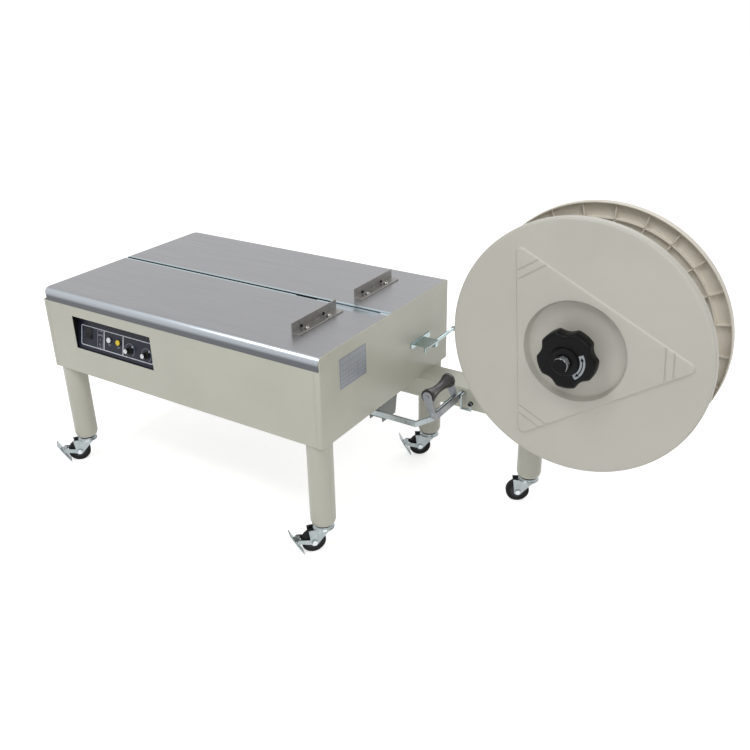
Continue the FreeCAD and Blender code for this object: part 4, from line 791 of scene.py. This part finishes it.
def knob_mark(face_y):
    """A pale printed band with a dark arrow along it, which shows that the knob turns both ways."""
    def placed(x, z, out):
        return at(REEL_X + x, face_y - out, REEL_Z + z)

    def raised(x, z, out):
        return placed(x, z, out + PRINT)

    label = [(arc_path(0, 0, KNOB_LABEL_R, *KNOB_LABEL_TURNS), KNOB_LABEL_WIDTH, False)]
    printed("knob_label", label, placed, label_grey, "hand_knob")
    line = [(arc_path(0, 0, KNOB_LABEL_R, *KNOB_ARROW_TURNS), KNOB_ARROW_LINE, False)]
    printed("knob_arrow_line", line, raised, knob_black, "hand_knob")
    heads = []
    for edge, way in zip(KNOB_ARROW_TURNS, (-1, 1)):
        corners = (around(0, 0, KNOB_LABEL_R - KNOB_ARROW_HALF, edge),
                   around(0, 0, KNOB_LABEL_R + KNOB_ARROW_HALF, edge),
                   around(0, 0, KNOB_LABEL_R, edge + way * KNOB_ARROW_POINT))
        outline = [raised(x, z, PRINT_SEAT) for x, z in corners]
        heads.append(extruded("head", outline, Vector((0, -PRINT * MM, 0)), knob_black, "hand_knob"))
    joined("knob_arrow_heads", heads)


# Prints: flat bands along paths, a hair thick
PRINT = 0.12
PRINT_SEAT = 0.02
SHARPEST_MITRE = 0.4


def band(path, width, placed, looped):
    """Vertices and faces of a band along (u, v) points; placed(u, v, w) is the place on the printed face."""
    points = [Vector(point[:2]) for point in path]
    count = len(points)
    verts = []
    for index, here in enumerate(points):
        ways = []
        if looped or index:
            ways.append((here - points[index - 1]).normalized())
        if looped or index < count - 1:
            ways.append((points[(index + 1) % count] - here).normalized())
        along = (ways[0] + ways[-1]).normalized()
        side = Vector((-along.y, along.x)) * (width / 2 / max(SHARPEST_MITRE, along.dot(ways[0])))
        for offset, lift in ((-1, PRINT_SEAT), (1, PRINT_SEAT), (1, PRINT), (-1, PRINT)):
            spot = here + side * offset
            verts.append(placed(spot.x, spot.y, lift))
    faces = []
    for index in range(count if looped else count - 1):
        a = index * 4
        b = (index + 1) % count * 4
        faces += [(a + k, a + (k + 1) % 4, b + (k + 1) % 4, b + k) for k in range(4)]
    if not looped:
        last = (count - 1) * 4
        faces += [(3, 2, 1, 0), (last, last + 1, last + 2, last + 3)]
    return verts, faces


def printed(name, bands, placed, material, body):
    """One piece out of several bands, each a path, a width and whether it closes on itself."""
    verts = []
    faces = []
    for path, width, looped in bands:
        more, drawn = band(path, width, placed, looped)
        faces += [tuple(len(verts) + index for index in face) for face in drawn]
        verts += more
    return piece(name, verts, faces, material, body)


def around(u, v, radius, degrees):
    """A flat point at a turn about a centre."""
    turn = math.radians(degrees)
    return u + radius * math.cos(turn), v + radius * math.sin(turn)


def arc_path(u, v, radius, first, last, steps=32):
    """Points along an arc from one turn to another, both in degrees."""
    return [around(u, v, radius, first + (last - first) * step / steps) for step in range(steps + 1)]


def box_path(low_u, high_u, low_v, high_v, fillet):
    """A closed rectangle with round corners."""
    middle_u = (low_u + high_u) / 2
    corners = [(middle_u, low_v, 0), (low_u, low_v, fillet), (low_u, high_v, fillet),
               (high_u, high_v, fillet), (high_u, low_v, fillet), (middle_u, low_v, 0)]
    return curve(corners, 4)[:-1]


# Control panel: frame lines, plain key marks, scales round the dials and the dials' pale ends
PANEL_DEPTH = 15.5
PANEL_MID = 419.0
PANEL_LEAN = math.radians(11.5)
PANEL_OUT = Vector((0, -math.cos(PANEL_LEAN), math.sin(PANEL_LEAN)))
PANEL_FRAME = (-333.0, -73.0, -35.0, 17.0)
PANEL_DIVIDERS = (-248.4, -179.0)
FRAME_LINE = 2.3
FRAME_ROUND = 4.0
DIVIDER_LINE = 3.2
MARK_LINE = 1.1
KEY_SIDES = (-273, -253)
KEY_MIDDLE = -263
UPPER_KEY = (3.5, 12.5)
LOWER_KEY = (-31.5, 1.0)
KEY_ROUND = 1.0
STROKE_SPAN = (-14, -7)
STROKE_LINE = 1.3
RING_LIFT = -24
RING_R = 3.0
RING_TURNS = (0, 345)
# Marks under the buttons: half width, place up the panel and line
BUTTON_MARKS = ((5, -16, 1.2), (3, -19, 1.0))
BUTTON_XS = (-228.0, -195.0)
DIALS = (("left_dial", -155.0), ("right_dial", -96.0))
DIAL_LIFT = -16.0
DIAL_TURNS = (-55, 235)
DIAL_SCALE_R = 17.4
SCALE_LINE = 0.7
TICK_LINE = 0.8
TICK_STEPS = 10
LONG_TICK = (13.0, 16.2)
SHORT_TICK = (14.0, 16.0)
WEDGE_CORNERS = ((10.6, 50), (16.6, 40), (16.6, 60))
WEDGE_LIFT = 0.03
WEDGE_SHEET = 0.15
DIAL_RISE = 15.3
DIAL_R = 9.5
DIAL_END_R = 6.0
DIAL_BORE_R = 3.2
DIAL_GAP = 0.3
DIAL_SHOULDER = 3.5
DIAL_CAP_SEAT = DIAL_RISE - 1.4
DIAL_POINTER_TURN = math.radians(50)
FLUTES = 18
FLUTE_DEPTH = 0.35
DIAL_FACE = DIAL_RISE - 0.4
DIAL_OUTLINE = ((DIAL_BORE_R, 0, 0), (DIAL_R, 0, 0.4), (DIAL_R - 0.2, 2.6, 0.5), (DIAL_R - 1.6, 3.4, 0.5),
                (DIAL_END_R + 0.4, DIAL_RISE - 1.0, 0.8), (DIAL_END_R - 0.6, DIAL_FACE, 0.3),
                (DIAL_BORE_R, DIAL_FACE, 0))
DIAL_CAP = ((AXIS_R, DIAL_CAP_SEAT, 0), (DIAL_END_R - 0.1, DIAL_CAP_SEAT, 0),
            (DIAL_END_R - 0.1, DIAL_RISE, 0.5), (AXIS_R, DIAL_RISE - 0.15, 0))
DIAL_POINTER = ((1.5, -0.5), (DIAL_END_R - 1, -0.5), (DIAL_END_R - 1, 0.5), (1.5, 0.5))
DIAL_POINTER_SEAT = DIAL_GAP + DIAL_RISE - 0.1
DIAL_POINTER_SHEET = 0.25
DIAL_SEGMENTS = 144


def on_panel(x, lift, out):
    """A place on the leaned panel: along it, up it and out from it."""
    up = Vector((0, math.sin(PANEL_LEAN), math.cos(PANEL_LEAN)))
    return at(x, PANEL_DEPTH - half_y, PANEL_MID) + (up * lift + PANEL_OUT * out) * MM


def panel_prints():
    """The panel's frame, its key marks and the scales round its dials."""
    left, right, low, high = PANEL_FRAME
    lines = [(box_path(left, right, low, high, FRAME_ROUND), FRAME_LINE, True)]
    lines += [([(x, low), (x, high)], DIVIDER_LINE, False) for x in PANEL_DIVIDERS]
    printed("panel_frame_print", lines, on_panel, print_white, "root")
    marks = [(box_path(*KEY_SIDES, *span, KEY_ROUND), MARK_LINE, True) for span in (UPPER_KEY, LOWER_KEY)]
    marks += [([(KEY_MIDDLE, lift) for lift in STROKE_SPAN], STROKE_LINE, False),
              (arc_path(KEY_MIDDLE, RING_LIFT, RING_R, *RING_TURNS, 20), MARK_LINE, True)]
    for x in BUTTON_XS:
        marks += [([(x - half, lift), (x + half, lift)], line, False) for half, lift, line in BUTTON_MARKS]
    outlines = []
    for _, x in DIALS:
        first, last = DIAL_TURNS
        marks.append((arc_path(x, DIAL_LIFT, DIAL_SCALE_R, first, last, 48), SCALE_LINE, False))
        for step in range(TICK_STEPS + 1):
            turn = first + (last - first) * step / TICK_STEPS
            tick = LONG_TICK if step % 5 == 0 else SHORT_TICK
            marks.append(([around(x, DIAL_LIFT, radius, turn) for radius in tick], TICK_LINE, False))
        corners = [around(x, DIAL_LIFT, radius, turn) for radius, turn in WEDGE_CORNERS]
        outlines.append([on_panel(*corner, WEDGE_LIFT) for corner in corners])
    printed("panel_scale_print", marks, on_panel, print_grey, "root")
    wedges = [extruded("wedge", outline, PANEL_OUT * (WEDGE_SHEET * MM), print_white, "root")
              for outline in outlines]
    joined("panel_wedge_print", wedges)


def dial_grip(name, x):
    """A fluted setting knob with a pointer line and a pale end cap."""
    foot = on_panel(x, DIAL_LIFT, DIAL_GAP)
    rings = curve(DIAL_OUTLINE, 3)

    def fluted(index, turn, radius):
        on_side = DIAL_SHOULDER < rings[index][1] < DIAL_CAP_SEAT
        return radius - FLUTE_DEPTH * (1 - math.cos(FLUTES * turn)) if on_side else radius

    grip = revolved(name + "_grip", rings, foot, PANEL_OUT, black_moulded, name,
                    DIAL_SEGMENTS, fluted)
    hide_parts(name)
    revolved(name + "_cap", curve(DIAL_CAP, 4), foot, PANEL_OUT, dial_pale, name, 48)
    turn = Matrix.Rotation(DIAL_POINTER_TURN, 2)
    outline = [on_panel(*(turn @ Vector(corner) + Vector((x, DIAL_LIFT))), DIAL_POINTER_SEAT)
               for corner in DIAL_POINTER]
    extruded(name + "_pointer", outline, PANEL_OUT * (DIAL_POINTER_SHEET * MM), black_moulded, name)


# Nameplate place on the right cover: a bare grey plate with plain ruled lines
NAMEPLATE = (-217.0, -108.0, 417.0, 493.0)
PLATE_SHEET = 0.6
PLATE_MARGIN = 3
PLATE_LINE = 0.7
PLATE_ROWS = (13, 23, 33, 43)
PLATE_HEAD = 17
PLATE_COLUMN = 36


def on_right_cover(y, z, out):
    """A place on the right cover or out from it."""
    return at(half_x + out, y, z)


def on_nameplate(y, z, out):
    """A place on the nameplate's face or out from it."""
    return on_right_cover(y, z, out + PLATE_SHEET)


def nameplate():
    """The bare plate and its ruled lines."""
    low_y, high_y, low_z, high_z = NAMEPLATE
    outline = [on_right_cover(y, z, PRINT_SEAT) for y, z in box_path(low_y, high_y, low_z, high_z, 2.0)]
    thickness = Vector((PLATE_SHEET * MM, 0, 0))
    extruded("nameplate_blank", outline, thickness, plate_grey, "root", THIN_ROLL)
    left, right = low_y + PLATE_MARGIN, high_y - PLATE_MARGIN
    foot, head = low_z + PLATE_MARGIN, high_z - PLATE_MARGIN
    lines = [(box_path(left, right, foot, head, 1.0), PLATE_LINE, True)]
    for z in [low_z + row for row in PLATE_ROWS] + [high_z - PLATE_HEAD]:
        lines.append(([(left, z), (right, z)], PLATE_LINE, False))
    for y in (low_y + PLATE_COLUMN, high_y - PLATE_COLUMN):
        lines.append(([(y, foot), (y, low_z + PLATE_ROWS[-1])], PLATE_LINE, False))
    printed("nameplate_rules", lines, on_nameplate, plate_line, "root")


# Screws and bolts in their places
UP = Vector((0, 0, 1))
GUIDE_SCREW_X = 329.5
GUIDE_SEAT = 528.0
GUIDE_SCREW_YS = {"front": (-171.24, -84.24), "rear": (84.76, 171.76)}
GUIDE_SCREW_R = 4.9
GUIDE_WASHER_R = 6.4
# Black heads in the holes of the guides' walls, their black a painted shade for the holes' dark insides: wall
# place, offset and radius
GUIDE_WALL_X = 319.0
GUIDE_WALL_HOLE = (-8.0, 6.0)
GUIDE_WALL_HOLE_R = 3.9
POST_BOLT_XS = (882.0, 929.0, 975.0)
POST_BOLT_Y = 199.5
POST_BOLT_R = 6.5
POST_WASHER_R = 8.5
POST_SEAT = 308.0
COVER_SCREW_R = 4.5
REAR_COVER_SCREWS = ((-400, 475), (-400, 318), (395, 475), (395, 318), (0, 318))
LEFT_COVER_SCREWS = ((-255, 475), (-255, 318), (255, 475), (255, 318))
# Black patches of painted shade at the head's opening: spans from the slide plate's ends, sides, round corners
# and sheet
FIRST_SHADE_SPAN = (0.5, 17)
SECOND_SHADE_SPAN = (42, 0.5)
SHADE_SIDES = (0.4, 11)
SHADE_ROUND = 2.0
SHADE_SHEET = 0.5
HOOK_TIP = (607.0, 122.0, 271.0)
HOOK_TIP_CAP = ((AXIS_R, -4.8, 0), (6.3, -4.8, 1.8), (6.3, 4.8, 1.8), (AXIS_R, 4.8, 0))


def fasteners():
    """Washers and screws of the box guides with black heads in their walls' holes as painted shade, bolts of
    the reel post and screws of two covers.
    """
    for side, places in GUIDE_SCREW_YS.items():
        for number, y in enumerate(places):
            washer(f"{side}_guide_washer_{number}", at(GUIDE_SCREW_X, y, GUIDE_SEAT), UP, GUIDE_WASHER_R,
                   "root", material=guide_screw_steel)
            screw(f"{side}_guide_screw_{number}", at(GUIDE_SCREW_X, y, GUIDE_SEAT + WASHER_SHEET), UP,
                  GUIDE_SCREW_R, "root", material=guide_screw_steel)
            # A black head in the wall's hole: painted shade for the hole's dark inside
            beside, lift = GUIDE_WALL_HOLE
            screw(f"{side}_guide_wall_hole_shade_{number}", at(GUIDE_WALL_X, y + beside, GUIDE_SEAT + lift),
                  Vector((1, 0, 0)), GUIDE_WALL_HOLE_R, "root", flat_black_and_painted_shade)
    for number, x in enumerate(POST_BOLT_XS):
        washer(f"post_washer_{number}", at(x, POST_BOLT_Y, POST_SEAT), UP, POST_WASHER_R, "root")
        screw(f"post_bolt_{number}", at(x, POST_BOLT_Y, POST_SEAT + WASHER_SHEET), UP, POST_BOLT_R, "root",
              style="hex")
    for number, (x, z) in enumerate(REAR_COVER_SCREWS):
        screw(f"rear_cover_screw_{number}", at(x, half_y, z), Vector((0, 1, 0)), COVER_SCREW_R, "root")
    for number, (y, z) in enumerate(LEFT_COVER_SCREWS):
        screw(f"left_cover_screw_{number}", at(-half_x, y, z), Vector((-1, 0, 0)), COVER_SCREW_R, "root")


def jaw_shade_patches():
    """Two thin black patches on the slide plate, painted shade where the jaws lie in shadow at the ends of the
    head's opening.
    """
    low, high = (in_table(corner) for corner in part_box("slide_plate"))
    spans = ((low.x + FIRST_SHADE_SPAN[0], low.x + FIRST_SHADE_SPAN[1]),
             (low.x + SECOND_SHADE_SPAN[0], high.x - SECOND_SHADE_SPAN[1]))
    near, far = (low.y + side for side in SHADE_SIDES)
    for number, (first, last) in enumerate(spans):
        outline = [at(x, y, high.z + PRINT_SEAT) for x, y in box_path(first, last, near, far, SHADE_ROUND)]
        extruded(f"jaw_shade_patch_{number}", outline, UP * (SHADE_SHEET * MM), flat_black_and_painted_shade, "slide_plate",
                 THIN_ROLL)


def hook_tip():
    """The black moulded end on the wire hook."""
    revolved("hook_tip_cap", curve(HOOK_TIP_CAP, 4), at(*HOOK_TIP), Vector((0, 1, 0)), black_moulded, "root",
             40)


# Casters: tyre, hub, axle nuts and the raceway under each leg
CASTER_TRAIL = 27.0
WHEEL_R = 30.0
WHEEL_HALF = 10.0
WEB_HALF = WHEEL_HALF - 4.0
HUB_SEAT = -WHEEL_HALF - 1.1
HUB_FACE = -WHEEL_HALF + 0.8
# What lies between the tyre's side and the axle's nut: boss, clearance, fork cheek and seat
AXLE_STACK = (1.2, 0.3, 2.5, 0.2)
AXLE_NUT_R = 7.0
WHEEL_SEGMENTS = 72
TREAD = ((WHEEL_R - 9.5, -WHEEL_HALF + 0.6, 0), (WHEEL_R - 8.5, -WHEEL_HALF, 0.5),
         (WHEEL_R - 2.5, -WHEEL_HALF + 0.8, 2.0), (WHEEL_R, -WHEEL_HALF + 3.5, 1.5), (WHEEL_R, 0, 0))
HUB = ((5.2, HUB_SEAT, 0), (9.0, HUB_SEAT, 0.8), (9.8, -WEB_HALF, 1.5), (18.5, -WEB_HALF, 1.5),
       (20.3, HUB_FACE, 0.5), (21.4, HUB_FACE, 0))
RACE = ((14.0, 0.2, 0), (22.5, 0.2, 1.0), (24.2, -4.0, 1.5), (26.5, -6.4, 1.0), (26.5, -8.2, 0.5),
        (14.0, -8.2, 0))
CASTERS = {"front_left": -129.0, "front_right": -129.0, "rear_left": -144.0, "rear_right": -144.0,
           "outrigger": -150.0}


def caster_frame(name):
    """The wheel's centre, its trail direction and its axle direction."""
    low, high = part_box(name + "_wheel")
    heading = math.radians(CASTERS[name])
    trail = Vector((math.cos(heading), math.sin(heading), 0))
    return (low + high) / 2, trail, Vector((-trail.y, trail.x, 0))


def mirrored(half):
    """A wheel's outline out of its half on one side; a point on the middle plane isn't repeated."""
    return half + [(radius, -height) for radius, height in reversed(half) if height]


def caster_wheel(name):
    """The tyre and the hub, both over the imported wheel."""
    centre, _, axle = caster_frame(name)
    wheel = name + "_wheel"
    tyre = revolved(name + "_tyre", mirrored(curve(TREAD, 4)), centre, axle, tyre_black, wheel,
                    WHEEL_SEGMENTS)
    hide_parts(name + "_wheel")
    hub = revolved(name + "_hub", mirrored(curve(HUB, 3)), centre, axle, hub_grey, wheel, 64)
    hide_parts(name + "_wheel")


def caster_hardware(name):
    """The axle's head and nut on the fork, and the ball race over it."""
    centre, trail, axle = caster_frame(name)
    fork = name + "_fork"
    for suffix, out in (("_axle_head", -axle), ("_axle_nut", axle)):
        seat = centre + out * ((WHEEL_HALF + sum(AXLE_STACK)) * MM)
        screw(name + suffix, seat, out, AXLE_NUT_R, fork, style="hex")
    swivel = centre - trail * (CASTER_TRAIL * MM)
    top = Vector((swivel.x, swivel.y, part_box(fork)[1].z))
    revolved(name + "_race", curve(RACE, 4), top, UP, zinc, fork, 64)


# Camera, at the angle that the table's edges in the photograph give
FOCAL_PIXELS = 873.04
IMAGE_PIXELS = 750
AZIMUTH = math.radians(32.85)
ELEVATION = math.radians(25.9)
ROLL = math.radians(-1.08)
CAMERA_PLACE = (1461.4, -1641.7, 1302.5)
SENSOR = 36.0
NEAREST = 0.05
FARTHEST = 200


def add_camera():
    """The camera that took the photograph."""
    data = bpy.data.cameras.new("camera")
    data.sensor_width = SENSOR
    data.lens = FOCAL_PIXELS / IMAGE_PIXELS * SENSOR
    data.clip_start = NEAREST
    data.clip_end = FARTHEST
    made = in_scene("camera", data)
    turn = Matrix.Rotation(AZIMUTH, 4, "Z") @ Matrix.Rotation(TURN / 4 - ELEVATION, 4, "X")
    made.matrix_world = Matrix.Translation(at(*CAMERA_PLACE)) @ turn @ Matrix.Rotation(ROLL, 4, "Z")
    scene.camera = made


# Lamps: place from the middle of the machine and size in metres, power in watts, colour
LAMPS = {
    "key": ((-0.5, -2.2, 3.9), (1.5, 1.4), 62.0, (0.95, 0.98, 1.0)),
    "fill": ((2.8, -2.4, 3.0), (1.8, 1.8), 44.0, (1.0, 0.985, 0.95)),
    "rear": ((0.3, 3.4, 2.6), (3.0, 1.6), 22.0, (1.0, 1.0, 1.0)),
}
LIT_MIDDLE = at(250, 0, 350)
AMBIENT = 0.48
GLOSS_LIGHT = 0.95
FLOOR_HALF = 60.0
FLOOR_GLOW = 0.62
FLOOR_COLOUR = (0.82, 0.82, 0.82)


def add_lamp(name, offset, size, power, colour):
    """A square lamp that looks at the middle of the machine."""
    data = bpy.data.lights.new(name, "AREA")
    data.shape = "RECTANGLE"
    data.size, data.size_y = size
    data.energy = power
    data.color = colour
    made = in_scene(name, data)
    made.location = LIT_MIDDLE + Vector(offset)
    made.rotation_mode = "QUATERNION"
    made.rotation_quaternion = (LIT_MIDDLE - made.location).to_track_quat("-Z", "Y")


def seen_directly(tree):
    """One for rays from the camera and for those that gloss and glass send out, else zero."""
    path = new_node(tree, "LightPath")
    seen = calculated(tree, "MAXIMUM", path.outputs["Is Camera Ray"], path.outputs["Is Glossy Ray"])
    return calculated(tree, "MAXIMUM", seen, path.outputs["Is Transmission Ray"])


def add_world():
    """A world that looks white and lights the object at one plain level."""
    world = bpy.data.worlds.new("studio")
    scene.world = world
    world.use_nodes = True
    tree = world.node_tree
    background = set_inputs(tree.nodes["Background"], {"Color": (1, 1, 1, 1)})
    path = new_node(tree, "LightPath")
    strength = new_node(tree, "MapRange", {"To Min": AMBIENT, "To Max": GLOSS_LIGHT})
    tree.links.new(path.outputs["Is Glossy Ray"], strength.inputs["Value"])
    seen = calculated(tree, "MAXIMUM", strength.outputs["Result"], path.outputs["Is Camera Ray"])
    seen = calculated(tree, "MAXIMUM", seen, path.outputs["Is Transmission Ray"])
    tree.links.new(seen, background.inputs["Strength"])


def add_floor():
    """A wide pale floor that keeps the shadow; its glow turns it white for what looks straight at it."""
    mesh = bpy.data.meshes.new("floor")
    half = FLOOR_HALF
    corners = [(-half, -half, 0), (half, -half, 0), (half, half, 0), (-half, half, 0)]
    mesh.from_pydata(corners, [], [(0, 1, 2, 3)])
    made = in_scene("floor", mesh)
    material = bpy.data.materials.new("pale_floor")
    material.use_nodes = True
    tree = material.node_tree
    shader = set_inputs(tree.nodes["Principled BSDF"], {
        "Base Color": (*FLOOR_COLOUR, 1), "Roughness": 0.9, "Specular IOR Level": 0.1,
        "Emission Color": (1, 1, 1, 1)})
    glow = calculated(tree, "MULTIPLY", seen_directly(tree), FLOOR_GLOW)
    tree.links.new(glow, shader.inputs["Emission Strength"])
    mesh.materials.append(material)


# The whole scene
flange("front_flange_moulding", in_table(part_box("front_flange")[1]).y, -1, STUD_BORE_R,
       cream_moulded, "front_flange")
# The rear flange takes the lighter cream, painted light for its shaded inside
flange("rear_flange_moulding", in_table(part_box("rear_flange")[0]).y, 1, SPINDLE_BORE_R, cream_painted_lighter, "reel")
hand_knob()
stud_end()
panel_prints()
for dial_name, dial_x in DIALS:
    dial_grip(dial_name, dial_x)
nameplate()
fasteners()
jaw_shade_patches()
hook_tip()
for caster in CASTERS:
    caster_wheel(caster)
    caster_hardware(caster)
add_camera()
add_world()
add_floor()
for lamp_name, settings in LAMPS.items():
    add_lamp(lamp_name, *settings)


scene.view_settings.view_transform = "Standard"
